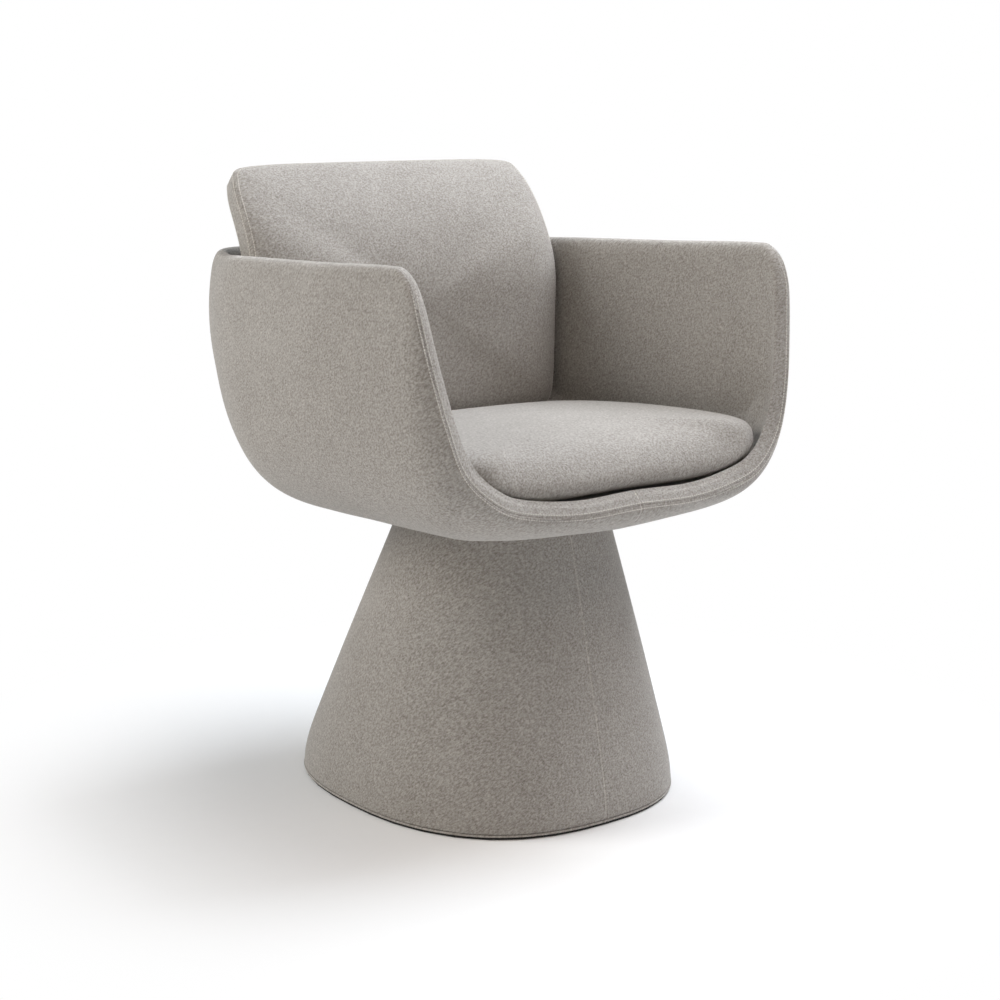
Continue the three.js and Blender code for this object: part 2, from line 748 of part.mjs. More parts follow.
function makeSeatPlate() {
  const group = new THREE.Group();
  group.position.y = swivelY;
  seat.add(group);
  const places = circlePlaces(plateBoltCircle, 0, boltCount);
  const ring = superellipse(seatPlateRadius, seatPlateRadius, 0, 2, 0);
  const holes = places.map(([x, y]) => ({ x, y, radius: boltRadius + boltHoleClearance, sides: boltSides }));
  const plate = plateWithHoles(ring, seatPlateThickness, seatPlateZ, holes);
  addPiece('seat_plate', plate, colours.blackSteel, group);
  const headZ = seatPlateZ - seatGap;
  places.forEach(([x, y], i) => {
    const shape = bolt({
      radius: boltRadius,
      headRadius: boltHeadRadius,
      headHeight: boltHeadHeight,
      length: coreBottomZ + coreThickness - headZ - seatGap,
      z: headZ,
    });
    const piece = addPiece(`plate_bolt_${i + 1}`, shape, colours.zincSteel, group);
    piece.position.set(x, y, 0);
  });
}

function makeSeatCushion() {
  const boardRing = superellipse(
    seatBoardHalfWidth, seatBoardHalfDepth, seatBoardCentreY, seatBoardExponent, 0,
  );
  const board = plateWithHoles(boardRing, seatBoardThickness, panFloorZ + seatGap, []);
  addPiece('seat_board', board, colours.plywood, seat);
  const table = mirrored(cushionShares);
  const outline = Array.from({ length: cushionSides }, (_, i) => (
    between(table, (i / cushionSides) * table.length, true)
  ));
  const ringAt = (inset, height, rise) => outline.map(([x, y, seam]) => {
    const point = new THREE.Vector3(x * cushionHalfWidth, y * cushionHalfLength, 0);
    point.setLength(Math.max(point.length() - inset, 0));
    const seamZ = cushionFootZ + seam * cushionSeamRise * rise;
    const rearShare = (1 + point.y / cushionHalfLength) / 2;
    const topZ = cushionFootZ + cushionHeight - cushionRearFall * rearShare * rearShare;
    return point.add(new THREE.Vector3(0, cushionCentreY, THREE.MathUtils.lerp(seamZ, topZ, height)));
  });
  const rings = [
    ringAt(cushionHeight * 2, 0, 0),
    ringAt(cushionHeight, 0, 0),
    ...cushionEdgeShares.map(([inset, height]) => ringAt(inset * cushionHeight, height, 1)),
  ];
  addPiece('seat_cushion', ringSolid(rings), colours.fabric, seat);
}

// Where the pad's front seam lies at a height, and the way from its front to its rear there
function padProfile(share) {
  const t = Math.max((share - padLeanStartShare) / (1 - padLeanStartShare), 0);
  const y = padFrontY + padLean * t * t;
  const slope = (2 * padLean * t) / ((1 - padLeanStartShare) * padHeight);
  return { y, rearward: new THREE.Vector3(0, 1, -slope).normalize() };
}

function makeBackPad() {
  const table = mirrored(padShares);
  const outline = Array.from({ length: padSides }, (_, i) => (
    between(table, (i / padSides) * table.length, true)
  ));
  const ringAt = (inset, depth) => outline.map(([x, height]) => {
    const share = THREE.MathUtils.lerp(height, 0.5, inset);
    const { y, rearward } = padProfile(share);
    const low = Math.max(1 - share / padTuckEndShare, 0);
    const rear = THREE.MathUtils.clamp(depth / padBoxing, 0, 1);
    const halfWidth = (1 - inset) * padHalfWidth - rear * (padRearTaper + padRearTuck * low * low);
    const point = new THREE.Vector3(x * halfWidth, y, padFootZ + share * padHeight);
    return point.addScaledVector(rearward, depth);
  });
  const crown = [...padCrownShares].reverse();
  const rings = [
    ...crown.map(([inset, share]) => ringAt(inset, -share * padFrontCrown)),
    ringAt(-padEdgeRound / padHalfWidth / 2, padBoxing / 2),
    ...padCrownShares.map(([inset, share]) => ringAt(inset, padBoxing + share * padRearCrown)),
  ];
  addPiece('back_pad', ringSolid(rings), colours.fabric, seat);
}

// A prism along X from a closed outline of [y, z], centred on x
function prismAlongX(outline, width, x) {
  const shape = new THREE.Shape(outline.map(([y, z]) => new THREE.Vector2(y, z)));
  const geometry = new THREE.ExtrudeGeometry(shape, { depth: width, bevelEnabled: false });
  geometry.rotateY(Math.PI / 2);
  geometry.rotateX(Math.PI / 2);
  geometry.translate(x - width / 2, 0, 0);
  return geometry;
}

// Where the shell's inner face lies at the rear, at a place across and a height
function rearWallY(x, z) {
  const rightRear = stations.slice(stationCount / 4, stationCount / 2 + 1).map(({ corner, round, lip }) => {
    const foot = corner.clone().setZ(corner.z + round);
    return foot.lerp(lip, (z - foot.z) / (lip.z - foot.z));
  });
  const next = rightRear.findIndex((point) => point.x < x);
  const [a, b] = [rightRear[next - 1], rightRear[next]];
  return THREE.MathUtils.mapLinear(x, a.x, b.x, a.y, b.y);
}

function makeBackBoard() {
  const board = new THREE.BoxGeometry(2 * backBoardHalfWidth, backBoardThickness, backBoardHeight);
  board.translate(0, boardFrontY + backBoardThickness / 2, backBoardZ + backBoardHeight / 2);
  addPiece('back_board', board, colours.plywood, seat);
  const rearY = boardFrontY + backBoardThickness + seatGap;
  const topZ = backBoardZ + backBoardHeight;
  const lowZ = topZ - spacerHeight;
  const outerX = spacerX + spacerWidth / 2;
  const wallAt = (z) => rearWallY(outerX, z) - seatGap;
  const outline = [[rearY, lowZ], [wallAt(lowZ), lowZ], [wallAt(topZ), topZ], [rearY, topZ]];
  addPiece('back_spacer_left', prismAlongX(outline, spacerWidth, -spacerX), colours.plywood, seat);
  addPiece('back_spacer_right', prismAlongX(outline, spacerWidth, spacerX), colours.plywood, seat);
}

const seat = new THREE.Group();
chair.add(seat);
makeBase();
makeColumn();
makePedestalBody();
makeSeatPlate();
makeShell();
makeSeatCushion();
makeBackPad();
makeBackBoard();

export default chair;
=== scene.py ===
"""Looks of a pedestal swivel armchair: felt covers, sewn cushions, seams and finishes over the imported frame.

Everything is in metres, in the frame's own axes: the floor at z = 0, the front of the chair towards -Y.
"""

import logging
import math
from collections.abc import Callable, Sequence
from dataclasses import dataclass, field
from enum import Enum

import bpy
import numpy as np
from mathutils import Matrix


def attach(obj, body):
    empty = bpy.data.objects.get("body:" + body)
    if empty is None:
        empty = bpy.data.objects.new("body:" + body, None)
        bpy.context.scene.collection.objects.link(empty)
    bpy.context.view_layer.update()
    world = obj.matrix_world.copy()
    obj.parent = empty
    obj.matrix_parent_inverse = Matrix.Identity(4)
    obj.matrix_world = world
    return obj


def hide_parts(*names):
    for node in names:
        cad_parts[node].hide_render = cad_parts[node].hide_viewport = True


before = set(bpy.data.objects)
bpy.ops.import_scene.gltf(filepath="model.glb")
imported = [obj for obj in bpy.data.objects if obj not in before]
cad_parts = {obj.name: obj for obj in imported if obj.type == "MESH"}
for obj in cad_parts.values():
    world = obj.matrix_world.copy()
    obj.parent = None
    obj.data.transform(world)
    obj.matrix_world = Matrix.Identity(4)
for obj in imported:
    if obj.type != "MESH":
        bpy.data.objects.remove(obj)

LOG = logging.getLogger("armchair")
MM = 0.001
SWIVEL_Y = -0.040
UP = np.array([0.0, 0.0, 1.0])
# The least length that a vector is divided by, and the least other number that divides.
SHORTEST = 1e-12
TINY = 1e-9
# The colour sockets of a Mix node: both inputs and the output.
MIX_A, MIX_B, MIX_RESULT = 6, 7, 2
# Places round the square of a panel's grid, two for each side.
AROUND = 8


class Body(Enum):
    """The frame's two bodies."""

    PEDESTAL = "pedestal"
    SEAT = "seat"


class Grain(Enum):
    """How a sheet's pattern runs."""

    EVEN = "even"
    BRUSHED = "brushed"
    PLIES = "plies"


# Numbers and meshes


def cubic_weights(t: np.ndarray) -> np.ndarray:
    """Catmull-Rom weights of the four neighbours of a place."""
    return np.stack([
        -0.5 * t + t**2 - 0.5 * t**3,
        1 - 2.5 * t**2 + 1.5 * t**3,
        0.5 * t + 2 * t**2 - 1.5 * t**3,
        -0.5 * t**2 + 0.5 * t**3,
    ])


def catmull_rom(rows: np.ndarray, places: np.ndarray) -> np.ndarray:
    """Reads a closed table of rows smoothly.

    Args:
        rows: The table, one row a point.
        places: Places along the table, counted in rows.

    Returns:
        One row of values for each place.
    """
    base = np.floor(places).astype(int)
    weights = cubic_weights(places - base)[..., None]
    return sum(weight * rows[np.mod(base + step, len(rows))] for weight, step in zip(weights, (-1, 0, 1, 2)))


def mirrored(rows: Sequence[Sequence[float]]) -> np.ndarray:
    """Closes a right-half table with its left half.

    Args:
        rows: Rows from one end of the middle line to the other, x first.

    Returns:
        The closed table.
    """
    table = np.array(rows, dtype=float)
    left = table[-2:0:-1].copy()
    left[:, 0] *= -1
    return np.vstack([table, left])


def monotone(x: np.ndarray, xs: Sequence[float], ys: Sequence[float]) -> np.ndarray:
    """Interpolates a table smoothly without overshoot.

    Args:
        x: Where to read the table.
        xs: Rising places of the table.
        ys: Values of the table.

    Returns:
        The values at x.
    """
    px, py = np.array(xs, float), np.array(ys, float)
    gap = np.diff(px)
    slope = np.diff(py) / gap
    tangent = np.zeros_like(py)
    same = slope[:-1] * slope[1:] > 0
    tangent[1:-1][same] = 2 * slope[:-1][same] * slope[1:][same] / (slope[:-1] + slope[1:])[same]
    tangent[0], tangent[-1] = slope[0], slope[-1]
    x = np.clip(x, px[0], px[-1])
    k = np.clip(np.searchsorted(px, x, side="right") - 1, 0, len(px) - 2)
    t = (x - px[k]) / gap[k]
    rest = t * t * (3 - 2 * t)
    return (
        py[k] * (1 - rest) + py[k + 1] * rest
        + gap[k] * (t * (1 - t) ** 2 * tangent[k] - t * t * (1 - t) * tangent[k + 1])
    )


def bell(distance: float | np.ndarray, width: float) -> float | np.ndarray:
    """A bell curve of height one, which falls to about a third at its width."""
    return np.exp(-((distance / width) ** 2))


def faded(value: np.ndarray, ends: tuple[float, float]) -> np.ndarray:
    """A soft step from 0 to 1 as a value goes from the first end to the second."""
    share = np.clip((value - ends[0]) / (ends[1] - ends[0]), 0, 1)
    return share * share * (3 - 2 * share)


def blended(ends: tuple[float, float], share: np.ndarray) -> np.ndarray:
    """The value between two ends at a share of the way."""
    return ends[0] + (ends[1] - ends[0]) * share


def unit(vectors: np.ndarray) -> np.ndarray:
    """Scales vectors, the last axis, to a length of one."""
    return vectors / np.maximum(np.linalg.norm(vectors, axis=-1, keepdims=True), SHORTEST)


def rounded(start: np.ndarray, corner: np.ndarray, end: np.ndarray, s: float | np.ndarray) -> np.ndarray:
    """A place on the round corner between a start (0) and an end (1)."""
    return (1 - s) ** 2 * start + 2 * s * (1 - s) * corner + s**2 * end


def new_object(name: str, data: bpy.types.ID) -> bpy.types.Object:
    """Makes an object from its data and links it to the scene."""
    obj = bpy.data.objects.new(name, data)
    bpy.context.scene.collection.objects.link(obj)
    return obj


def make_mesh(
    name: str, points: np.ndarray, faces: np.ndarray, tone: np.ndarray | None = None
) -> bpy.types.Object:
    """Makes a smooth closed mesh object with its faces turned out.

    Args:
        name: The object's name.
        points: Vertex places, n by 3.
        faces: Quads as index rows; a row whose last two indices are equal is a triangle.
        tone: Painted light for each vertex, kept as the attribute painted_seam_light: a share by which the
            felt's colour is made paler above zero, a painted highlight, and darker below zero, a painted
            shade.

    Returns:
        The new object, linked to the scene.
    """
    corners = points[faces]
    across = np.cross(corners[:, 1] - corners[:, 0], corners[:, 2] - corners[:, 0])
    across += np.cross(corners[:, 2] - corners[:, 0], corners[:, 3] - corners[:, 0])
    if np.einsum("ij,ij->", corners.mean(axis=1) - points.mean(axis=0), across) < 0:
        faces = np.stack([faces[:, 0], faces[:, 3], faces[:, 2], faces[:, 1]], axis=1)
    polygons = [tuple(dict.fromkeys(face)) for face in faces.tolist()]
    mesh = bpy.data.meshes.new(name)
    mesh.from_pydata(points.tolist(), [], polygons)
    mesh.shade_smooth()
    # Painted light along the seams: above zero a painted highlight, below zero a painted shade.
    if tone is not None:
        mesh.attributes.new("painted_seam_light", "FLOAT", "POINT").data.foreach_set("value", tone.astype(np.float32))
    mesh.validate()
    return new_object(name, mesh)


def ring_faces(rows: int, count: int, looped: bool) -> np.ndarray:
    """Quads between rings of equal counts.

    Args:
        rows: How many rings there are.
        count: Points in each ring.
        looped: Whether the last ring joins the first.

    Returns:
        The quads as index rows.
    """
    i, j = np.meshgrid(np.arange(rows if looped else rows - 1), np.arange(count), indexing="ij")
    step, side = (i + 1) % rows, (j + 1) % count
    quads = np.stack([i * count + j, i * count + side, step * count + side, step * count + j], axis=-1)
    return quads.reshape(-1, 4)


def fan(starts: np.ndarray, ends: np.ndarray, apex: int) -> np.ndarray:
    """Triangles from edges to one point, written as quads that name it twice.

    Args:
        starts: Indices where the edges start.
        ends: Indices where they end.
        apex: Index of the point.

    Returns:
        The triangles as index rows.
    """
    point = np.full(len(starts), apex)
    return np.stack([starts, ends, point, point], axis=1)


def capped(rings: np.ndarray) -> tuple[np.ndarray, np.ndarray]:
    """Closes a run of rings with a fan at each end.

    Args:
        rings: Points, rows by count by 3.

    Returns:
        The points and the faces.
    """
    rows, count = rings.shape[:2]
    points = np.vstack([rings.reshape(-1, 3), rings[0].mean(axis=0), rings[-1].mean(axis=0)])
    first, last, apex = np.arange(count), (rows - 1) * count + np.arange(count), rows * count
    fans = [fan(np.roll(first, -1), first, apex), fan(last, np.roll(last, -1), apex + 1)]
    return points, np.vstack([ring_faces(rows, count, False), *fans])


def surface_normals(rings: np.ndarray, inside: Sequence[float]) -> np.ndarray:
    """Normals of a surface given as rings, by differences along and across them.

    Args:
        rings: Points, rows by count by 3.
        inside: A place that the normals turn away from.

    Returns:
        Unit normals of the same shape.
    """
    along = np.roll(rings, -1, axis=1) - np.roll(rings, 1, axis=1)
    normal = unit(np.cross(along, np.gradient(rings, axis=0)))
    return normal * np.sign(np.median(np.einsum("ijk,ijk->ij", normal, rings - np.array(inside))))


def ride_on(piece: bpy.types.Object, body: Body, slot: str, *nodes: str) -> None:
    """Hangs a finished piece on the body that it moves with and hides the CAD nodes that it stands for.

    Args:
        piece: The finished piece.
        body: The body that it moves with.
        slot: The name of a material slot; it is not used.
        nodes: CAD nodes that it replaces.
    """
    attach(piece, body.value)
    if nodes:
        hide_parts(*nodes)
    LOG.info("%s: %d faces on %s", piece.name, len(piece.data.polygons), body.value)


# Finishes


def linear(colour: str) -> tuple[float, float, float, float]:
    """Turns an sRGB hex colour to linear.

    Args:
        colour: Six hex digits.

    Returns:
        Linear red, green, blue and an alpha of one.
    """
    shares = [int(colour[i : i + 2], 16) / 255 for i in (0, 2, 4)]
    r, g, b = (c / 12.92 if c <= 0.04045 else ((c + 0.055) / 1.055) ** 2.4 for c in shares)
    return (r, g, b, 1.0)


def add_node(tree: bpy.types.NodeTree, kind: str, settings: dict | None = None, inputs: dict | None = None):
    """Adds a node with its settings, values and links.

    Args:
        tree: The node tree.
        kind: The node's type.
        settings: Properties of the node.
        inputs: Values or sockets for its inputs, by name or number.

    Returns:
        The new node.
    """
    node = tree.nodes.new(kind)
    for name, value in (settings or {}).items():
        setattr(node, name, value)
    for key, value in (inputs or {}).items():
        if isinstance(value, bpy.types.NodeSocket):
            tree.links.new(value, node.inputs[key])
        else:
            node.inputs[key].default_value = value
    return node


def new_material(name: str) -> tuple[bpy.types.Material, bpy.types.NodeTree]:
    """Makes an empty node material.

    Args:
        name: The material's name.

    Returns:
        The material and its emptied tree.
    """
    material = bpy.data.materials.new(name)
    material.use_nodes = True
    material.node_tree.nodes.clear()
    return material, material.node_tree


@dataclass(frozen=True)
class WoolFelt:
    """Milled wool felt, light warm grey.

    The yarn is a mixture of pale and dark fibres, so the eye sees a fine salt-and-pepper mottle, a matt
    face and a faint fuzz that lights up at grazing angles. The mottle is drawn about 2 mm wide, coarser
    than the fibres, so that it shows from a step away. It leans, as the yarn's twill does under the
    milled face.
    """

    name: str
    pale: str = "c8c4be"
    middle: str = "a5a09a"
    dark: str = "7b746c"
    stops: tuple[float, float, float] = (0.3, 0.5, 0.7)
    mottle: float = 2.1 * MM
    twill: float = 2.0
    twill_turn: tuple[float, float, float] = (0.0, 0.955, -0.785)
    fibre: float = 1.2 * MM
    fibre_share: float = 0.3
    cloud: float = 70 * MM
    cloud_share: float = 0.08
    bump: float = 0.25 * MM

    def build(self) -> bpy.types.Material:
        """Builds the material."""
        material, tree = new_material(self.name)
        place = add_node(tree, "ShaderNodeTexCoord").outputs["Object"]
        lean = add_node(tree, "ShaderNodeMapping", {"vector_type": "TEXTURE"}, {
            "Vector": place, "Rotation": self.twill_turn, "Scale": (1.0, 1.0, self.twill)})
        mottle = add_node(tree, "ShaderNodeTexNoise", inputs={
            "Vector": lean.outputs[0], "Scale": 1 / self.mottle, "Detail": 2.5, "Roughness": 0.62})
        fibre = add_node(tree, "ShaderNodeTexNoise", inputs={
            "Vector": place, "Scale": 1 / self.fibre, "Detail": 2.0, "Roughness": 0.6})
        cloud = add_node(tree, "ShaderNodeTexNoise", inputs={
            "Vector": place, "Scale": 1 / self.cloud, "Detail": 3.0, "Roughness": 0.55})
        both = add_node(tree, "ShaderNodeMix", {"data_type": "FLOAT"}, {
            "Factor": self.fibre_share, "A": mottle.outputs["Fac"], "B": fibre.outputs["Fac"]})
        shifted = add_node(tree, "ShaderNodeMath", {"operation": "MULTIPLY_ADD"}, {
            0: cloud.outputs["Fac"], 1: self.cloud_share, 2: -self.cloud_share / 2})
        total = add_node(tree, "ShaderNodeMath", {"operation": "ADD"}, {
            0: both.outputs[0], 1: shifted.outputs[0]})
        ramp = add_node(tree, "ShaderNodeValToRGB", inputs={"Fac": total.outputs[0]})
        stops = ramp.color_ramp.elements
        stops.new(self.stops[1])
        for stop, at, shade in zip(stops, self.stops, (self.dark, self.middle, self.pale)):
            stop.position, stop.color = at, linear(shade)
        # Painted light at the seams: the attribute makes the felt paler for a painted highlight and darker for
        # a painted shade.
        tone = add_node(tree, "ShaderNodeAttribute", {"attribute_name": "painted_seam_light"})
        paler = add_node(tree, "ShaderNodeMath", {"operation": "ADD"}, {0: tone.outputs["Fac"], 1: 1.0})
        painted_light_colour = add_node(tree, "ShaderNodeVectorMath", {"operation": "SCALE"}, {
            0: ramp.outputs["Color"], "Scale": paler.outputs[0]})
        bump = add_node(tree, "ShaderNodeBump", inputs={
            "Strength": 0.5, "Distance": self.bump, "Height": both.outputs[0]})
        shader = add_node(tree, "ShaderNodeBsdfPrincipled", inputs={
            "Base Color": painted_light_colour.outputs[0], "Roughness": 0.92, "IOR": 1.45, "Specular IOR Level": 0.25,
            "Sheen Weight": 0.22, "Sheen Roughness": 0.45, "Normal": bump.outputs[0]})
        add_node(tree, "ShaderNodeOutputMaterial", inputs={"Surface": shader.outputs[0]})
        return material


@dataclass(frozen=True)
class PlainFinish:
    """A hard or foamed material with a fine pattern of its own in colour, roughness and bump.

    The pattern's size is real and in metres; the brushed one is drawn out along Z, and the plied one
    lies in layers.
    """

    name: str
    colour: str
    second: str
    size: float
    roughness: float
    ior: float
    bump: float
    grain: Grain = Grain.EVEN
    metallic: float = 0.0
    spread: float = 0.06

    # How much each grain's pattern is scaled along X, Y and Z.
    STRETCH = {Grain.EVEN: (1, 1, 1), Grain.BRUSHED: (1, 1, 0.05), Grain.PLIES: (0.04, 0.04, 1)}

    def build(self) -> bpy.types.Material:
        """Builds the material."""
        material, tree = new_material(self.name)
        place = add_node(tree, "ShaderNodeTexCoord").outputs["Object"]
        mapped = add_node(tree, "ShaderNodeMapping", inputs={
            "Vector": place, "Scale": self.STRETCH[self.grain]})
        noise = add_node(tree, "ShaderNodeTexNoise", inputs={
            "Vector": mapped.outputs[0], "Scale": 1 / self.size, "Detail": 3.0, "Roughness": 0.6})
        colour = add_node(tree, "ShaderNodeMix", {"data_type": "RGBA"}, {
            "Factor": noise.outputs["Fac"], MIX_A: linear(self.colour), MIX_B: linear(self.second)})
        rough = add_node(tree, "ShaderNodeMapRange", inputs={
            "Value": noise.outputs["Fac"], "To Min": self.roughness - self.spread,
            "To Max": self.roughness + self.spread})
        bump = add_node(tree, "ShaderNodeBump", inputs={
            "Strength": 0.4, "Distance": self.bump, "Height": noise.outputs["Fac"]})
        shader = add_node(tree, "ShaderNodeBsdfPrincipled", inputs={
            "Base Color": colour.outputs[MIX_RESULT], "Metallic": self.metallic,
            "Roughness": rough.outputs[0], "IOR": self.ior, "Normal": bump.outputs[0]})
        add_node(tree, "ShaderNodeOutputMaterial", inputs={"Surface": shader.outputs[0]})
        return material


@dataclass(frozen=True)
class ThreadFinish:
    """Spun polyester sewing thread, a shade paler than the felt and slightly lustrous."""

    name: str = "polyester_thread"
    colour: str = "e6e2da"
    second: str = "c9c4bc"
    ply: float = 0.6 * MM

    def build(self) -> bpy.types.Material:
        """Builds the material."""
        material, tree = new_material(self.name)
        place = add_node(tree, "ShaderNodeTexCoord").outputs["Object"]
        twist = add_node(tree, "ShaderNodeTexNoise", inputs={
            "Vector": place, "Scale": 1 / self.ply, "Detail": 1.0})
        colour = add_node(tree, "ShaderNodeMix", {"data_type": "RGBA"}, {
            "Factor": twist.outputs["Fac"], MIX_A: linear(self.colour), MIX_B: linear(self.second)})
        shader = add_node(tree, "ShaderNodeBsdfPrincipled", inputs={
            "Base Color": colour.outputs[MIX_RESULT], "Roughness": 0.6, "IOR": 1.5})
        add_node(tree, "ShaderNodeOutputMaterial", inputs={"Surface": shader.outputs[0]})
        return material


# Glass-filled polypropylene shell and former: dark grey with the fine grain of a moulding tool.
MOULDED_POLYPROPYLENE = PlainFinish(
    "moulded_polypropylene", "3a3a3c", "434345", size=1.2 * MM, roughness=0.55, ior=1.49, bump=0.08 * MM)
# Moulded polyurethane foam: cream, open celled, fully matt.
POLYURETHANE_FOAM = PlainFinish(
    "moulded_foam", "d8d2bd", "c8c0a6", size=1.0 * MM, roughness=0.93, ior=1.45, bump=0.5 * MM)
# Birch plywood, sawn and sanded: pale layers 1.5 mm thick with darker glue lines.
BIRCH_PLYWOOD = PlainFinish(
    "birch_plywood", "cdae80", "a8845a", size=1.5 * MM, roughness=0.62, ior=1.5, bump=0.1 * MM,
    grain=Grain.PLIES)
# Nitrile rubber sheet: black, matt, slightly dusty.
BLACK_RUBBER = PlainFinish(
    "nitrile_rubber", "121212", "1d1c1b", size=2.5 * MM, roughness=0.78, ior=1.52, bump=0.1 * MM)
# Steel with a black powder coat: satin with a slight orange peel.
POWDER_COATED_STEEL = PlainFinish(
    "powder_coated_steel", "18181a", "202022", size=1.5 * MM, roughness=0.45, ior=1.5, bump=0.06 * MM)
# Zinc-plated steel: bright bluish grey with faint lines from turning and drawing.
ZINC_STEEL = PlainFinish(
    "zinc_plated_steel", "b9bcc0", "a3a7ac", size=0.8 * MM, roughness=0.34, ior=1.5, bump=0.03 * MM,
    grain=Grain.BRUSHED, metallic=1.0)
# Natural acetal, turned: waxy off-white.
ACETAL = PlainFinish(
    "natural_acetal", "e8e5da", "dedacb", size=3.0 * MM, roughness=0.4, ior=1.48, bump=0.02 * MM)

NODE_FINISHES: dict[PlainFinish, tuple[str, ...]] = {
    MOULDED_POLYPROPYLENE: ("shell_core", "pedestal_former"),
    BIRCH_PLYWOOD: ("seat_board", "back_board", "back_spacer_", "pedestal_bottom_ring", "pedestal_top_board"),
    BLACK_RUBBER: ("floor_sheet",),
    POWDER_COATED_STEEL: ("base_plate", "seat_plate", "retaining_ring"),
    ZINC_STEEL: ("column_", "foot_bolt_", "plate_bolt_", "thrust_washer", "spindle"),
    ACETAL: ("upper_bush", "lower_bush"),
}


# Seams


@dataclass(frozen=True)
class SeamProfile:
    """How felt stands near a seam: a groove at the seam and a soft swell beside it, with painted light along
    the seam's line.
    """

    depth: float = 0.6 * MM
    width: float = 0.7 * MM
    swell: float = 0.35 * MM
    swell_at: float = 3.2 * MM
    swell_width: float = 1.5 * MM
    # Painted light on the seam's line: below zero a painted shade in the groove, above zero a painted
    # highlight.
    painted_light_share: float = -0.05

    def rise(self, distance: np.ndarray) -> np.ndarray:
        """Height over the plain surface at distances from the seam."""
        groove = self.depth * bell(distance, self.width)
        return self.swell * bell(distance - self.swell_at, self.swell_width) - groove

    def tone(self, distance: np.ndarray) -> np.ndarray:
        """Share of painted light at distances from the seam: paler for a painted highlight, darker below zero
        for a painted shade.
        """
        return self.painted_light_share * bell(distance, self.width)


@dataclass
class StitchRows:
    """Rows of lockstitch, made by Geometry Nodes along closed paths."""

    thread: bpy.types.Material
    pitch: float = 3.6 * MM
    length: float = 3.1 * MM
    radius: float = 0.66 * MM
    size_spread: tuple[float, float] = (0.9, 1.06)
    seed: int = 7
    tree: bpy.types.NodeTree = field(init=False)

    def __post_init__(self) -> None:
        """Builds the node tree once for all rows."""
        tree = bpy.data.node_groups.new("stitch_row", "GeometryNodeTree")
        face = tree.interface
        face.new_socket("Path", in_out="INPUT", socket_type="NodeSocketGeometry")
        for name in ("Pitch", "Stitch Length", "Thread Radius"):
            face.new_socket(name, in_out="INPUT", socket_type="NodeSocketFloat")
        face.new_socket("Seed", in_out="INPUT", socket_type="NodeSocketInt")
        face.new_socket("Thread", in_out="INPUT", socket_type="NodeSocketMaterial")
        face.new_socket("Stitches", in_out="OUTPUT", socket_type="NodeSocketGeometry")
        source = add_node(tree, "NodeGroupInput").outputs
        curve = add_node(tree, "GeometryNodeMeshToCurve", inputs={"Mesh": source["Path"]})
        points = add_node(tree, "GeometryNodeCurveToPoints", {"mode": "LENGTH"}, {
            "Curve": curve.outputs[0], "Length": source["Pitch"]})
        half = add_node(tree, "ShaderNodeMath", {"operation": "MULTIPLY"}, {
            0: source["Stitch Length"], 1: 0.5})
        size = add_node(tree, "ShaderNodeCombineXYZ", inputs={
            "X": source["Thread Radius"], "Y": source["Thread Radius"], "Z": half.outputs[0]})
        bead = add_node(tree, "GeometryNodeMeshUVSphere", inputs={"Segments": 6, "Rings": 5, "Radius": 1.0})
        stitch = add_node(tree, "GeometryNodeTransform", inputs={
            "Geometry": bead.outputs[0], "Scale": size.outputs[0]})
        low, high = self.size_spread
        spread = add_node(tree, "FunctionNodeRandomValue", {"data_type": "FLOAT"}, {
            "Min": low, "Max": high, "Seed": source["Seed"]})
        placed = add_node(tree, "GeometryNodeInstanceOnPoints", inputs={
            "Points": points.outputs["Points"], "Instance": stitch.outputs[0],
            "Rotation": points.outputs["Rotation"], "Scale": spread.outputs["Value"]})
        real = add_node(tree, "GeometryNodeRealizeInstances", inputs={"Geometry": placed.outputs[0]})
        smooth = add_node(tree, "GeometryNodeSetShadeSmooth", inputs={"Geometry": real.outputs[0]})
        dressed = add_node(tree, "GeometryNodeSetMaterial", inputs={
            "Geometry": smooth.outputs[0], "Material": source["Thread"]})
        add_node(tree, "NodeGroupOutput", inputs={0: dressed.outputs[0]})
        self.tree = tree

    def sew(self, name: str, paths: Sequence[np.ndarray]) -> bpy.types.Object:
        """Sews stitches along closed paths and returns them as one plain mesh.

        Args:
            name: The new piece's name.
            paths: Points of each row, n by 3.

        Returns:
            The piece, at the origin.
        """
        points, edges = [], []
        for path in paths:
            first, count = len(points), len(path)
            points.extend(path.tolist())
            edges.extend((first + i, first + (i + 1) % count) for i in range(count))
        mesh = bpy.data.meshes.new(name + "_path")
        mesh.from_pydata(points, edges, [])
        carrier = new_object(name + "_path", mesh)
        modifier = carrier.modifiers.new("stitches", "NODES")
        modifier.node_group = self.tree
        values = {
            "Pitch": self.pitch,
            "Stitch Length": self.length,
            "Thread Radius": self.radius,
            "Seed": self.seed,
            "Thread": self.thread,
        }
        for item in self.tree.interface.items_tree:
            if item.in_out == "INPUT" and item.name in values:
                modifier[item.identifier] = values[item.name]
        bpy.context.view_layer.update()
        evaluated = carrier.evaluated_get(bpy.context.evaluated_depsgraph_get())
        made = bpy.data.meshes.new_from_object(evaluated)
        carrier.modifiers.remove(modifier)
        bpy.data.objects.remove(carrier)
        made.name = name
        if not made.materials:
            made.materials.append(self.thread)
        return new_object(name, made)


# Bucket shell

# Shares of the way along the inner face where its fillet begins and ends.
FILLET_START, FILLET_END = 0.2, 0.55


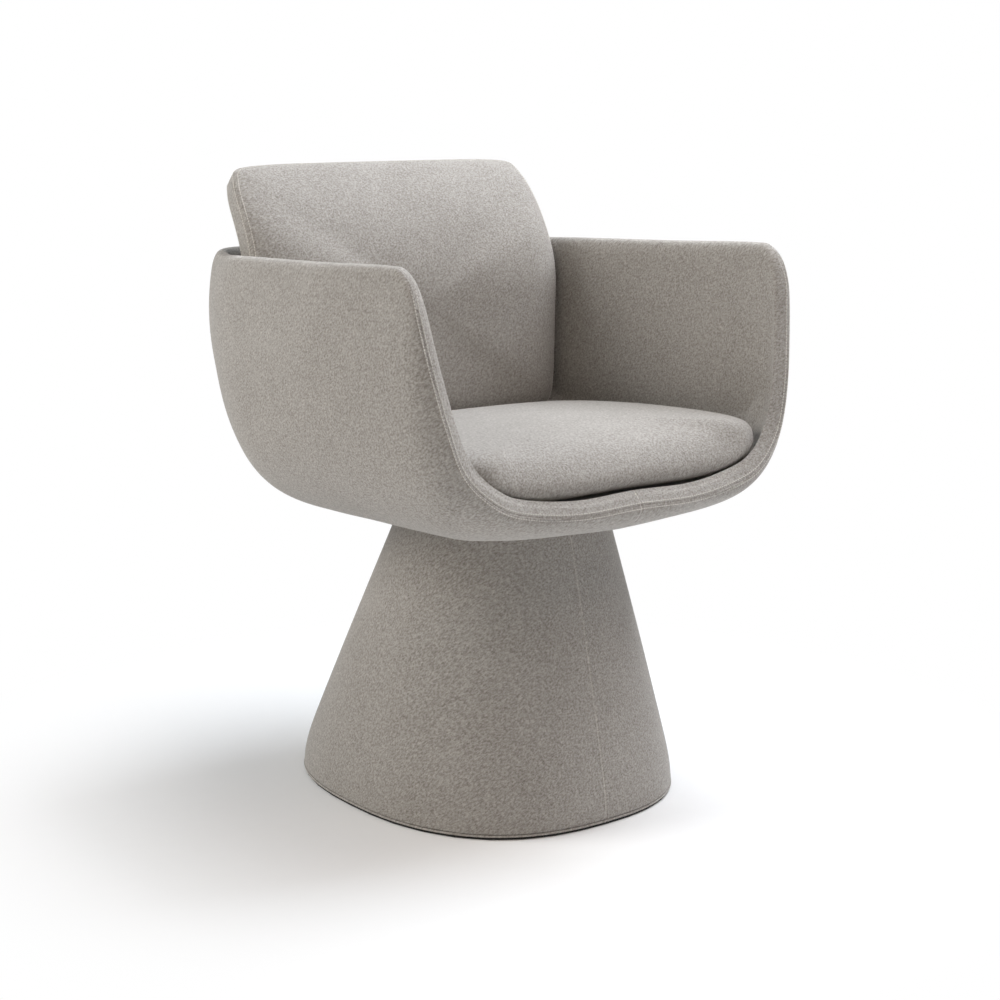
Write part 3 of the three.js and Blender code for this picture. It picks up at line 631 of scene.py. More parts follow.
@dataclass(frozen=True)
class WallSections:
    """The shell's wall under every station of the rim.

    The outer face is a cubic curve from the foot over heel and belly to the rim. The inner face runs from
    the floor's foot towards the corner, round it and up to the lip. The directions are away along the
    floor, down the outer face and across the band. The rolls and drops say how far the rounded edges reach
    over the band and down the wall. The seam lies at a share of the way over the rim's edge, and its depth
    says how plainly it shows.
    """

    foot: np.ndarray
    heel: np.ndarray
    belly: np.ndarray
    rim: np.ndarray
    lip: np.ndarray
    floor_foot: np.ndarray
    corner: np.ndarray
    away: np.ndarray
    round: np.ndarray
    down: np.ndarray
    across: np.ndarray
    rim_roll: np.ndarray
    rim_drop: np.ndarray
    lip_roll: np.ndarray
    lip_drop: np.ndarray
    seam_share: np.ndarray
    seam_depth: np.ndarray

    def outer(self, t: float | np.ndarray) -> np.ndarray:
        """The outer face at a share of the way up."""
        s = 1 - t
        return (
            s**3 * self.foot + 3 * s**2 * t * self.heel + 3 * s * t**2 * self.belly + t**3 * self.rim
        )

    def share_below_rim(self, length: float | np.ndarray) -> np.ndarray:
        """Shares of the way up the outer face that lie a length under the rim."""
        return 1 - length / (3 * np.linalg.norm(self.belly - self.rim, axis=1, keepdims=True))

    def inner(self, t: float) -> np.ndarray:
        """The inner face at a share of the way: along the floor, round the fillet and up to the lip."""
        arc_start = self.corner - self.away * self.round
        arc_end = self.corner + UP * self.round
        if t <= FILLET_START:
            return self.floor_foot + (arc_start - self.floor_foot) * (t / FILLET_START)
        if t <= FILLET_END:
            angle = (t - FILLET_START) / (FILLET_END - FILLET_START) * math.pi / 2
            return arc_start + (self.away * math.sin(angle) + UP * (1 - math.cos(angle))) * self.round
        return arc_end + (self.lip - arc_end) * ((t - FILLET_END) / (1 - FILLET_END))

    def at_depth(self, t: float, depth: float, from_inside: bool = False) -> np.ndarray:
        """Points inside the wall, a depth from one of its faces."""
        outer, inner = self.outer(t), self.inner(t)
        chord = unit(inner - outer)
        return inner - chord * depth if from_inside else outer + chord * depth


@dataclass
class BucketShell:
    """Outer cover, inner cover with the rim band, and the twin-needle seam between them.

    Each pair of rolls, drops and seam shares holds the value at the front of the seat, then on the arms.
    """

    felt_outer: bpy.types.Material
    felt_inner: bpy.types.Material
    foam: bpy.types.Material
    stitches: StitchRows
    half_width: float = 0.302
    half_depth: float = 0.308
    bottom_z: float = 0.367
    arm_top_z: float = 0.699
    bottom_radius: float = 0.126
    band: float = 0.022
    crown: float = 3.2 * MM
    pan_z: float = 0.424
    pan_round: float = 0.045
    pan_middle: float = 0.4
    rear_lean: float = 0.2
    cover: float = 3.4 * MM
    turn_in: float = 5 * MM
    rim_roll: tuple[float, float] = (6.0 * MM, 10.0 * MM)
    rim_drop: tuple[float, float] = (6.0 * MM, 22.0 * MM)
    lip_roll: tuple[float, float] = (6.0 * MM, 11.0 * MM)
    lip_drop: tuple[float, float] = (6.0 * MM, 26.0 * MM)
    lip_drop_limit: float = 0.6
    seam_share: tuple[float, float] = (0.5, 0.8)
    seam_depth: tuple[float, float] = (1.0, 0.15)
    # The rim seam's groove has a slight painted shade.
    seam: SeamProfile = SeamProfile()
    # The upright middle seams have a painted highlight along their line.
    middle_seam: SeamProfile = SeamProfile(
        depth=0.6 * MM, width=1.0 * MM, swell=0.25 * MM, swell_at=2.6 * MM, swell_width=1.2 * MM,
        painted_light_share=0.3)
    middle_seam_end: float = 0.9
    needle_gap: float = 3.3 * MM
    foam_depth: float = 11.2 * MM
    foam_cover: float = 4.4 * MM
    foam_top: float = 0.95
    sections: WallSections = field(init=False)

    # Half rim, front centre to rear centre: x, y, height shares; run, bulge, drop of the wall under it;
    # turn of the band (-1 front, 0 side, 1 rear), its lift, and the inner fillet's share.
    RIM = (
        (0.0, -1.0, 0.14, 0.76, 0.005, 0.44, -1, 0.75, 1),
        (0.295, -1.0, 0.135, 0.66, -0.005, 0.4, -0.9, 0.75, 1),
        (0.535, -0.98, 0.16, 0.67, 0.02, 0.41, -0.75, 0.74, 1),
        (0.685, -0.97, 0.21, 0.73, -0.005, 0.42, -0.47, 0.62, 1.3),
        (0.81, -0.94, 0.32, 0.79, -0.03, 0.54, -0.3, 0.38, 1.4),
        (0.875, -0.915, 0.49, 0.91, -0.015, 0.57, -0.25, 0.12, 1.8),
        (0.92, -0.875, 0.695, 0.93, 0.01, 0.66, -0.2, 0, 2.1),
        (0.955, -0.825, 0.915, 0.96, 0.02, 0.69, -0.19, -0.02, 2.25),
        (0.965, -0.745, 1.0, 0.94, 0.045, 0.72, -0.06, -0.04, 2.1),
        (0.965, -0.63, 1.011, 0.92, 0.07, 0.73, -0.04, -0.04, 1.45),
        (0.95, -0.21, 0.993, 0.91, 0.155, 0.73, 0, 0, 1),
        (0.93, 0.105, 0.983, 0.94, 0.185, 0.82, 0.02, 0, 1),
        (0.91, 0.365, 0.975, 0.98, 0.19, 0.87, 0.05, 0, 1),
        (0.89, 0.56, 0.968, 0.93, 0.165, 0.76, 0.12, 0, 1.3),
        (0.845, 0.73, 0.962, 0.84, 0.145, 0.64, 0.3, 0, 2.15),
        (0.775, 0.87, 0.972, 0.78, 0.15, 0.51, 0.56, 0, 2.35),
        (0.63, 0.94, 0.973, 0.75, 0.155, 0.47, 0.82, 0, 1.9),
        (0.395, 0.965, 0.965, 0.76, 0.145, 0.48, 0.96, 0, 1.3),
        (0.0, 0.97, 0.962, 0.8, 0.13, 0.5, 1, 0, 1),
    )

    # Height shares between which the front's edges turn into the arms', and the seam comes over the top.
    ARM_HEIGHTS, TOP_HEIGHTS = (0.3, 0.85), (0.86, 0.96)
    # A place in the bucket, which the outer face and the rim band turn away from.
    INSIDE = (0.0, SWIVEL_Y, 0.55)
    # Stations round the rim, and those by each middle seam: how many on each side, their pitch, the last
    # one's distance and the room kept free of the even ones, all in rows of the rim's table.
    STATIONS, SEAM_STATIONS, SEAM_PITCH, SEAM_LAST, SEAM_ROOM = 456, 10, 0.0055, 0.068, 0.08
    # Rows up the outer wall, over half of the rim's edge, over the band and the lip, down the inner wall
    # and round the fillet; rows of the foam's two faces.
    WALL_ROWS, EDGE_ROWS, BAND_ROWS, LIP_ROWS, INNER_ROWS, FILLET_ROWS = 58, 17, 7, 9, 20, 24
    FOAM_OUTER_ROWS, FOAM_INNER_ROWS = 14, 22
    # Shares of the way where the pan, and the back of each cover, have rows.
    PAN_SHARES = (0.15, 0.1, 0.05, 0.0)
    OUTER_BACK_SHARES = (0.85, 0.7, 0.55, 0.4, 0.25, 0.12, 0.0)
    INNER_BACK_SHARES = (0.0, 0.2, 0.3, 0.4, 0.55, 0.7, 0.85, 0.94)
    # Length over the rim's edge, from the outer face to the band, for a roll of one.
    EDGE_LENGTH = 1.62

    def stations(self, rows: int) -> np.ndarray:
        """Places of the stations along the rim's table, closer together at the two middle seams."""
        steps = np.arange(-self.SEAM_STATIONS, self.SEAM_STATIONS + 1) * self.SEAM_PITCH
        near = np.concatenate([steps, [-self.SEAM_LAST, self.SEAM_LAST]])
        even = np.arange(self.STATIONS) / self.STATIONS * rows
        for seam in (0, rows / 2, rows):
            even = even[np.abs(even - seam) > self.SEAM_ROOM]
        return np.sort(np.mod(np.concatenate([even, near, near + rows / 2]), rows))

    def __post_init__(self) -> None:
        """Reads the rim at every station and works out the wall under it."""
        table = mirrored(self.RIM)
        columns = catmull_rom(table, self.stations(len(table))).T
        x, y, z, run, bulge, drop, turn, lift, fillet = (column[:, None] for column in columns)
        side = np.where(x < 0, -1.0, 1.0)
        rim = np.hstack([x * self.half_width, y * self.half_depth,
                         self.bottom_z + z * (self.arm_top_z - self.bottom_z)])
        centre = np.array([0.0, SWIVEL_Y, self.bottom_z])
        flat = (rim - centre) * [1, 1, 0]
        reach = np.linalg.norm(flat, axis=1, keepdims=True)
        outward = flat / reach
        foot = centre + outward * self.bottom_radius
        heel = foot + outward * (reach - self.bottom_radius) * run
        belly = rim + outward * bulge * self.half_width
        belly[:, 2:] -= drop * (rim[:, 2:] - self.bottom_z)
        level = np.sqrt(1 - lift**2)
        angle = turn * math.pi / 2
        across = np.hstack([-side * np.cos(angle) * level, -np.sin(angle) * level, lift])
        lip = rim + across * self.band
        floor_foot = np.hstack([foot[:, :2], np.full_like(x, self.pan_z)])
        corner = np.hstack([lip[:, :2], np.full_like(x, self.pan_z)])
        corner[:, 1:2] -= np.maximum(turn, 0) * self.rear_lean * (lip[:, 2:] - self.pan_z)
        arm, top = faded(z, self.ARM_HEIGHTS), faded(z, self.TOP_HEIGHTS)
        self.sections = WallSections(
            foot=foot, heel=heel, belly=belly, rim=rim, lip=lip, floor_foot=floor_foot, corner=corner,
            away=unit(corner - floor_foot), down=unit(belly - rim), across=across,
            round=np.minimum(fillet * self.pan_round, lip[:, 2:] - self.pan_z),
            rim_roll=blended(self.rim_roll, arm), rim_drop=blended(self.rim_drop, arm),
            lip_roll=blended(self.lip_roll, arm), lip_drop=blended(self.lip_drop, arm),
            seam_share=blended(self.seam_share, top), seam_depth=blended(self.seam_depth, top))

    def roll(self, s: np.ndarray) -> tuple[np.ndarray, np.ndarray]:
        """The rounded edge at the rim, from the outer face (0) over the seam to the band (1).

        Args:
            s: Share of the way over the edge at each station.

        Returns:
            One point for each station, and its painted light from the seam.
        """
        w = self.sections
        point = rounded(w.outer(w.share_below_rim(w.rim_drop)), w.rim, w.rim + w.across * w.rim_roll, s)
        distance = np.abs(s - w.seam_share) * self.EDGE_LENGTH * w.rim_roll
        out = -unit(w.down * (1 - s) + w.across * s)
        # The seam's painted shade, fading with the seam's depth.
        rise, tone = self.seam.rise(distance) * w.seam_depth, self.seam.tone(distance) * w.seam_depth
        return point + out * rise, tone.ravel()

    def crowned_band(self, share: float) -> np.ndarray:
        """The band over the rim between its two rounded edges."""
        w = self.sections
        start = w.rim + w.across * w.rim_roll
        end = w.rim + w.across * (self.band - w.lip_roll)
        crown = self.crown * np.linalg.norm(end - start, axis=1, keepdims=True) / self.band
        return start + (end - start) * share - w.down * crown * math.sin(share * math.pi)

    def lip_edge(self, s: float) -> np.ndarray:
        """The rounded inner edge of the band, from the band (0) to the inner wall (1)."""
        w = self.sections
        fall = w.corner + UP * w.round - w.lip
        length = np.linalg.norm(fall, axis=1, keepdims=True)
        drop = np.minimum(w.lip_drop, length * self.lip_drop_limit)
        end = w.lip + fall / np.maximum(length, TINY) * drop
        return rounded(w.lip - w.across * w.lip_roll, w.lip, end, s)

    def inner_wall(self, share: float) -> np.ndarray:
        """The inner wall from the end of the lip's rounded edge (0) down to the fillet (1)."""
        w = self.sections
        wall = (w.lip - w.corner)[:, 2:] - w.round
        fillet = w.inner(FILLET_END)
        drop = np.minimum(w.lip_drop, self.lip_drop_limit * wall) / np.maximum(wall, TINY)
        top = w.lip + (fillet - w.lip) * drop
        return top + (fillet - top) * share

    def under_seam(self) -> np.ndarray:
        """Points under the seam, where both covers turn in."""
        w = self.sections
        return w.rim + w.across * w.rim_roll * w.seam_share**2 + w.down * self.turn_in

    def press_middle_seams(self, rings: np.ndarray, visible: int) -> tuple[np.ndarray, np.ndarray]:
        """Presses the upright seams at the front and rear middle into the visible rows and paints a highlight
        along them.

        Args:
            rings: Points, rows by stations by 3.
            visible: How many of the first rows show.

        Returns:
            The moved points and each point's share of painted highlight.
        """
        shown = rings[:visible]
        distance = np.abs(shown[..., 0])
        far = np.abs(shown[..., 1] - SWIVEL_Y) > self.bottom_radius * self.middle_seam_end
        rise = np.where(far, self.middle_seam.rise(distance), 0.0)
        moved, tone = rings.copy(), np.zeros(rings.shape[:2])
        moved[:visible] += surface_normals(shown, self.INSIDE) * rise[..., None]
        tone[:visible] = np.where(far, self.middle_seam.tone(distance), 0.0)
        return moved, tone

    def build_outer(self) -> None:
        """Builds the outer cover, whose visible rows run from the bottom to the seam."""
        w = self.sections
        top = w.share_below_rim(w.rim_drop)
        up = [w.outer(top * share) for share in np.linspace(0, 1, self.WALL_ROWS)[:-1]]
        rolled = [self.roll(w.seam_share * share) for share in np.linspace(0, 1, self.EDGE_ROWS)]
        rows = [*up, *(points for points, _ in rolled)]
        back = [w.at_depth(t, self.cover) for t in self.OUTER_BACK_SHARES]
        rings, tone = self.press_middle_seams(np.array([*rows, self.under_seam(), *back]), len(rows))
        # Adds the rim seam's painted shade to the middle seams' painted highlight.
        tone[len(up) : len(rows)] += np.array([shade for _, shade in rolled])
        faces = ring_faces(len(rings), rings.shape[1], True)
        cover = make_mesh("shell_cover_outside", rings.reshape(-1, 3), faces, tone.ravel())
        cover.data.materials.append(self.felt_outer)
        ride_on(cover, Body.SEAT, "felt_outer", "shell_outer_cover")

    def build_inner(self) -> None:
        """Builds the inner cover: rim band, rounded lip, inner walls and pan."""
        w = self.sections
        inward = np.linspace(0, 1, self.EDGE_ROWS)
        rolled = [self.roll(w.seam_share + (1 - w.seam_share) * share) for share in inward]
        rows = [points for points, _ in rolled]
        rows += [self.crowned_band(share) for share in np.linspace(0, 1, self.BAND_ROWS)[1:-1]]
        rows += [self.lip_edge(s) for s in np.linspace(0, 1, self.LIP_ROWS)]
        pressed = len(rows) + 1
        rows += [self.inner_wall(share) for share in np.linspace(0, 1, self.INNER_ROWS)[1:]]
        rows += [w.inner(t) for t in np.linspace(FILLET_END, FILLET_START, self.FILLET_ROWS)[1:]]
        rows += [w.inner(t) for t in self.PAN_SHARES]
        middle = np.array([0, SWIVEL_Y * (1 - self.pan_middle), 0])
        pan = w.floor_foot * [self.pan_middle, self.pan_middle, 1] + middle
        back = [w.at_depth(t, self.cover, True) for t in self.INNER_BACK_SHARES]
        back += [w.lip - w.across * self.cover + w.down * self.turn_in, self.under_seam()]
        rings, tone = self.press_middle_seams(np.array([*rows, pan, pan - UP * self.cover, *back]), pressed)
        # Adds the rim seam's painted shade to the middle seams' painted highlight.
        tone[: len(rolled)] += np.array([shade for _, shade in rolled])
        count, pan_row = rings.shape[1], len(rows)
        faces = ring_faces(len(rings), count, True)
        faces = faces[faces[:, 0] // count != pan_row]
        tops = np.arange(count) + pan_row * count
        lows = tops + count
        centres = [rings[pan_row].mean(axis=0), rings[pan_row + 1].mean(axis=0)]
        apex = len(rings) * count
        fans = [fan(tops, np.roll(tops, -1), apex), fan(np.roll(lows, -1), lows, apex + 1)]
        cover = make_mesh(
            "shell_cover_inside", np.vstack([rings.reshape(-1, 3), *centres]), np.vstack([faces, *fans]),
            np.concatenate([tone.ravel(), [0, 0]]))
        cover.data.materials.append(self.felt_inner)
        ride_on(cover, Body.SEAT, "felt_inner", "shell_inner_cover")

    def build_foam(self) -> None:
        """Builds the foam between the moulded core and the inner cover."""
        w = self.sections
        rings = [w.at_depth(t, self.foam_depth) for t in np.linspace(0, self.foam_top, self.FOAM_OUTER_ROWS)]
        inward = np.linspace(self.foam_top, 0, self.FOAM_INNER_ROWS)
        rings += [w.at_depth(t, self.foam_cover, True) for t in inward]
        foam = make_mesh("shell_foam_padding", *capped(np.array(rings)))
        foam.data.materials.append(self.foam)
        ride_on(foam, Body.SEAT, "foam", "shell_foam")

    def build_stitches(self) -> None:
        """Sews the two needle rows, one on each side of the rim seam, which sink where the seam fades."""
        w = self.sections
        shift = self.needle_gap / (self.EDGE_LENGTH * w.rim_roll)
        sunk = w.down * (1 - w.seam_depth) * 2 * self.stitches.radius
        rows = [self.roll(w.seam_share + shift * side)[0] + sunk for side in (-1, 1)]
        ride_on(self.stitches.sew("rim_seam_stitches", rows), Body.SEAT, "felt_outer")

    def build(self) -> None:
        """Builds the covers, the foam and the seam."""
        self.build_outer()
        self.build_inner()
        self.build_foam()
        self.build_stitches()


# Pedestal


@dataclass(frozen=True)
class HemLine:
    """A line along the hem: how far it stands out, and its painted light, paler for a painted highlight and
    darker for a painted shade.

    Both have a place, as a share of the hem's height, and a width.
    """

    form_at: float
    rise: float
    width: float
    # Place, share and width of the line's painted light.
    painted_light_at: float
    tone: float
    painted_light_width: float


@dataclass
class PedestalCover:
    """Felt over the pedestal: a superellipse foot that turns into a round head, one seam in front."""

    felt: bpy.types.Material
    foot_half: tuple[float, float] = (0.2165, 0.250)
    foot_y: float = -0.001
    foot_exponent: float = 2.46
    foot_round: float = 0.027
    foot_softness: float = 0.013
    waist_bulge: float = 0.002
    skirt_z: float = 3.6 * MM
    top_z: float = 0.362
    head_radius: float = 0.135
    head_round: float = 7 * MM
    top_fold: float = 6 * MM
    cover: float = 2.8 * MM
    hem_top: float = 6.6 * MM
    # The crease is painted darker as shade, the roll under it paler as a highlight.
    hem_crease: HemLine = HemLine(1.0, -1.1 * MM, 0.55 * MM, 1.0, -0.45, 0.7 * MM)
    hem_roll: HemLine = HemLine(0.75, 0.5 * MM, 1.2 * MM, 0.72, 0.22, 1.2 * MM)
    # The front seam has a painted highlight along its line.
    seam: SeamProfile = SeamProfile(
        depth=0.7 * MM, width=1.2 * MM, swell=0.45 * MM, swell_at=2.2 * MM, swell_width=1.0 * MM,
        painted_light_share=0.3)

    # Places round the axis, and those by the seam: how many on each side, their pitch and the room kept
    # free of the even ones, in radians.
    SIDES, SEAM_SIDES, SEAM_PITCH, SEAM_ROOM = 400, 9, 0.0022, 0.022
    # Rows: up the hem and its end, just above it, up the wall, over the head, and down the back.
    HEM_ROWS, HEM_END = 22, 8.6 * MM
    ABOVE_HEM = (9.5 * MM, 11 * MM, 14 * MM, 18 * MM, 22 * MM)
    WALL_ROWS, HEAD_ROWS = 40, 8
    BACK_HEIGHTS = (0.25, 0.11, 0.07, 0.045)
    # A place inside, which the surface turns away from.
    INSIDE = (0.0, SWIVEL_Y, 0.2)

    def angles(self) -> np.ndarray:
        """Places round the axis, closer together at the front seam."""
        front = 1.5 * math.pi
        even = np.arange(self.SIDES) / self.SIDES * 2 * math.pi
        even = even[np.abs(even - front) > self.SEAM_ROOM]
        near = np.arange(-self.SEAM_SIDES, self.SEAM_SIDES + 1) * self.SEAM_PITCH
        return np.sort(np.concatenate([even, front + near]))

    def soft_ramp(self, z: float) -> float:
        """A length that starts to grow softly round the height where the foot turns into the cone."""
        return self.foot_softness * math.log1p(math.exp((z - self.foot_round) / self.foot_softness))

    def ring(self, inset: float, z: float) -> np.ndarray:
        """One ring of the surface.

        Args:
            inset: How far it is drawn in.
            z: Its height.

        Returns:
            Points, n by 3.
        """
        rise = (self.soft_ramp(z) - self.soft_ramp(0)) / (self.soft_ramp(self.top_z) - self.soft_ramp(0))
        drawn = inset - self.waist_bulge * math.sin(rise * math.pi)
        half_x = self.foot_half[0] + (self.head_radius - self.foot_half[0]) * rise - drawn
        half_y = self.foot_half[1] + (self.head_radius - self.foot_half[1]) * rise - drawn
        exponent = self.foot_exponent + (2 - self.foot_exponent) * rise
        c, s = np.cos(self.angles()), np.sin(self.angles())
        reach = (np.abs(c) ** exponent + np.abs(s) ** exponent) ** (-1 / exponent)
        middle = self.foot_y + (SWIVEL_Y - self.foot_y) * rise
        return np.stack([half_x * reach * c, middle + half_y * reach * s, np.full_like(c, z)], axis=1)

    def hem_inset(self, z: float) -> float:
        """How far the hem's crease and roll draw the surface in at a height."""
        lines = (self.hem_crease, self.hem_roll)
        return -sum(line.rise * bell(z - line.form_at * self.hem_top, line.width) for line in lines)

    def hem_painted_light(self, z: np.ndarray) -> np.ndarray:
        """Painted light of the hem at heights: a painted shade in the crease and a painted highlight on the
        roll.
        """
        lines = (self.hem_crease, self.hem_roll)
        return sum(line.tone * bell(z - line.painted_light_at * self.hem_top, line.painted_light_width) for line in lines)

    def build(self) -> None:
        """Builds the cover."""
        near = np.concatenate([np.linspace(self.skirt_z, self.HEM_END, self.HEM_ROWS), self.ABOVE_HEM])
        tall = np.linspace(self.foot_round, self.top_z - self.head_round, self.WALL_ROWS)
        rows = [self.ring(self.hem_inset(z), z) for z in [*near, *tall]]
        for angle in np.linspace(0, math.pi / 2, self.HEAD_ROWS)[1:]:
            inset = self.head_round * (1 - math.cos(angle))
            rows.append(self.ring(inset, self.top_z - self.head_round * (1 - math.sin(angle))))
        visible = len(rows)
        fold, under = self.head_round + self.top_fold, self.top_z - self.cover
        rows += [self.ring(fold, self.top_z), self.ring(fold, under), self.ring(self.head_round, under)]
        back = (self.top_z - self.head_round, *self.BACK_HEIGHTS, self.foot_round, self.skirt_z)
        rings = np.array([*rows, *(self.ring(self.cover, z) for z in back)])
        shown, tone = rings[:visible], np.zeros(rings.shape[:2])
        distance = np.where(shown[..., 1] < SWIVEL_Y, np.abs(shown[..., 0]), 1.0)
        shown += surface_normals(shown, self.INSIDE) * self.seam.rise(distance)[..., None]
        # Painted light: the front seam's highlight and the hem's shade and highlight.
        tone[:visible] = self.seam.tone(distance) + self.hem_painted_light(shown[..., 2])
        cover = make_mesh(
            "pedestal_felt", rings.reshape(-1, 3), ring_faces(len(rings), rings.shape[1], True), tone.ravel())
        cover.data.materials.append(self.felt)
        ride_on(cover, Body.PEDESTAL, "felt_outer", "pedestal_cover")


# Sewn cushions


@dataclass(frozen=True)
class PanelGrid:
    """A square grid laid over an outline, so that a panel has no pole in its middle.

    A grid point (a, b) lies on the outline's own curve drawn in by 1 - max(|a|, |b|). The corners are the
    places on the outline, in rows of its table, where the square's corners lie.
    """

    steps: np.ndarray
    outline: np.ndarray
    corners: tuple[float, float, float, float]

    # Rows of the table between two points of the dense outline.
    DENSE = 0.01

    def on_outline(self, around: np.ndarray) -> np.ndarray:
        """Reads the outline at places round the square, 0 to 8 from its right lower corner.

        Args:
            around: Places, two for each side of the square.

        Returns:
            Rows of the outline's table.
        """
        dense = np.arange(0, len(self.outline), self.DENSE)
        points = catmull_rom(self.outline, dense)
        length = np.concatenate([[0], np.cumsum(np.linalg.norm(np.diff(points[:, :2], axis=0), axis=1))])
        marks = np.interp(self.corners, dense, length)
        total = length[-1] + float(np.linalg.norm(points[-1, :2] - points[0, :2]))
        marks = np.append(marks, marks[0] + total)
        where = np.mod(np.interp(np.mod(around, AROUND), [0, 2, 4, 6, AROUND], marks), total)
        places = np.interp(where, np.append(length, total), np.append(dense, len(self.outline)))
        return catmull_rom(self.outline, places)

    def grid(self) -> tuple[np.ndarray, np.ndarray]:
        """The grid's places.

        Returns:
            Each point's share of the way out, and its place round the square.
        """
        b, a = np.meshgrid(self.steps, self.steps, indexing="ij")
        out = np.maximum(np.abs(a), np.abs(b))
        safe = np.maximum(out, TINY)
        u, v = a / safe, b / safe
        around = np.select(
            [(u >= 1) & (v < 1), (v >= 1) & (u > -1), (u <= -1) & (v > -1)],
            [v + 1, 3 - u, 5 - v], u + 7)
        return out, np.mod(around, AROUND)

    def rim_indices(self) -> np.ndarray:
        """Indices of the grid's edge points, in order round it from the right lower corner."""
        n = len(self.steps)
        index = np.arange(n * n).reshape(n, n)
        return np.concatenate([index[:-1, -1], index[-1, :0:-1], index[:0:-1, 0], index[0, :-1]])

    def quads(self) -> np.ndarray:
        """The grid's faces."""
        n = len(self.steps)
        index = np.arange(n * n).reshape(n, n)
        corners = (index[:-1, :-1], index[:-1, 1:], index[1:, 1:], index[1:, :-1])
        return np.stack(corners, axis=-1).reshape(-1, 4)

    def from_edge(self, values: np.ndarray) -> np.ndarray:
        """Gives every grid point the vector of the edge at its own place round the square.

        Args:
            values: Vectors at the edge points, in the order of rim_indices.

        Returns:
            One vector for each grid point.
        """
        places = self.grid()[1].ravel()
        at_edge = places[self.rim_indices()]
        order = np.argsort(at_edge)
        rounds = np.append(at_edge[order], float(AROUND))
        closed = np.vstack([values[order], values[order[0]]])
        return np.stack([np.interp(places, rounds, column) for column in closed.T], axis=1)


@dataclass(frozen=True)
class PanelMesh:
    """A cushion's mesh as a face panel, border rows and a back panel."""

    grid: PanelGrid
    border_rows: np.ndarray
    points: np.ndarray
    faces: np.ndarray


Surface = Callable[[np.ndarray, np.ndarray, float], np.ndarray]


def sew_panels(grid: PanelGrid, border_rows: np.ndarray, surface: Surface) -> PanelMesh:
    """Joins a face panel, the border and a back panel into one closed mesh.

    Args:
        grid: The panels' grid.
        border_rows: Shares of the border, from above 0 to under 1, between the two panels.
        surface: Gives places from (share out, outline rows, way through from 0 face to 1 back).

    Returns:
        The mesh in arrays.
    """
    out, around = grid.grid()
    rows = grid.on_outline(around.ravel())
    flat = out.ravel()
    face = surface(flat, rows, 0.0)
    back = surface(flat, rows, 1.0)
    edge = grid.rim_indices()
    border = [surface(np.ones(len(edge)), rows[edge], float(t)) for t in border_rows]
    points = np.vstack([face, *border, back])
    count = len(flat)
    rings = [edge, *(count + i * len(edge) + np.arange(len(edge)) for i in range(len(border_rows)))]
    last = count + len(border_rows) * len(edge)
    rings.append(last + edge)
    strips = []
    for low, high in zip(rings[:-1], rings[1:]):
        strips.append(np.stack([low, np.roll(low, -1), np.roll(high, -1), high], axis=1))
    quads = grid.quads()
    faces = np.vstack([quads[:, ::-1], *strips, quads + last])
    return PanelMesh(grid, border_rows, points, faces)


def relaxed(moved: np.ndarray, faces: np.ndarray, rounds: int) -> np.ndarray:
    """Evens out a movement between neighbours, which takes small creases out of it.

    Args:
        moved: Movement of each point.
        faces: The mesh's quads.
        rounds: How many times.

    Returns:
        The evened movement.
    """
    start, end = faces.ravel(), np.roll(faces, -1, axis=1).ravel()
    degree = np.bincount(start, minlength=len(moved)) + np.bincount(end, minlength=len(moved))
    for _ in range(rounds):
        total = np.zeros_like(moved)
        np.add.at(total, start, moved[end])
        np.add.at(total, end, moved[start])
        moved = 0.5 * moved + 0.5 * total / degree[:, None]
    return moved


@dataclass(frozen=True)
class ClothFill:
    """Runs a short cloth simulation with pressure and returns how far each point moved."""

    pressure: float
    cap: float
    frames: int = 20
    quality: int = 6
    stiffness: float = 4.0
    slack: float = -0.012
    relax: int = 120

    def run(self, mesh: PanelMesh, pinned: np.ndarray) -> np.ndarray:
        """Inflates a copy of a mesh.

        Args:
            mesh: The closed cushion mesh.
            pinned: Weight of the pin for each point.

        Returns:
            The capped movement of each point.
        """
        obj = make_mesh("cloth_trial", mesh.points, mesh.faces)
        group = obj.vertex_groups.new(name="sewn")
        for weight in np.unique(np.round(pinned, 2)):
            if weight > 0:
                group.add(np.flatnonzero(np.round(pinned, 2) == weight).tolist(), float(weight), "REPLACE")
        modifier = obj.modifiers.new("fill", "CLOTH")
        settings = modifier.settings
        settings.quality = self.quality
        settings.use_pressure = True
        settings.uniform_pressure_force = self.pressure
        settings.vertex_group_mass = "sewn"
        settings.shrink_min = self.slack
        settings.bending_stiffness = self.stiffness
        settings.effector_weights.gravity = 0
        modifier.point_cache.frame_start = 1
        modifier.point_cache.frame_end = self.frames
        scene = bpy.context.scene
        for number in range(1, self.frames + 1):
            scene.frame_set(number)
        evaluated = obj.evaluated_get(bpy.context.evaluated_depsgraph_get())
        flat = np.empty(len(mesh.points) * 3)
        evaluated.data.vertices.foreach_get("co", flat)
        obj.modifiers.remove(modifier)
        bpy.data.objects.remove(obj)
        scene.frame_set(1)
        moved = relaxed(flat.reshape(-1, 3) - mesh.points, mesh.faces, self.relax)
        size = np.linalg.norm(moved, axis=1, keepdims=True)
        LOG.info("cloth moved %.1f mm at most, %.1f mm on average", size.max() / MM, size.mean() / MM)
        return moved * (self.cap * np.tanh(size / self.cap) / np.maximum(size, TINY))


def read_grid(vectors: np.ndarray, row: np.ndarray, column: np.ndarray, wrap: bool) -> np.ndarray:
    """Reads a grid of vectors smoothly between its points.

    Args:
        vectors: The grid, rows by columns by 3.
        row: Fractional rows.
        column: Fractional columns.
        wrap: Whether the columns close on themselves.

    Returns:
        One vector for each place.
    """
    i, j = np.floor(row).astype(int), np.floor(column).astype(int)
    wi, wj = cubic_weights(row - i), cubic_weights(column - j)
    total, (height, width) = np.zeros((len(row), 3)), vectors.shape[:2]
    for m in range(4):
        rows = np.clip(i + m - 1, 0, height - 1)
        for n in range(4):
            columns = np.mod(j + n - 1, width) if wrap else np.clip(j + n - 1, 0, width - 1)
            total += (wi[m] * wj[n])[:, None] * vectors[rows, columns]
    return total


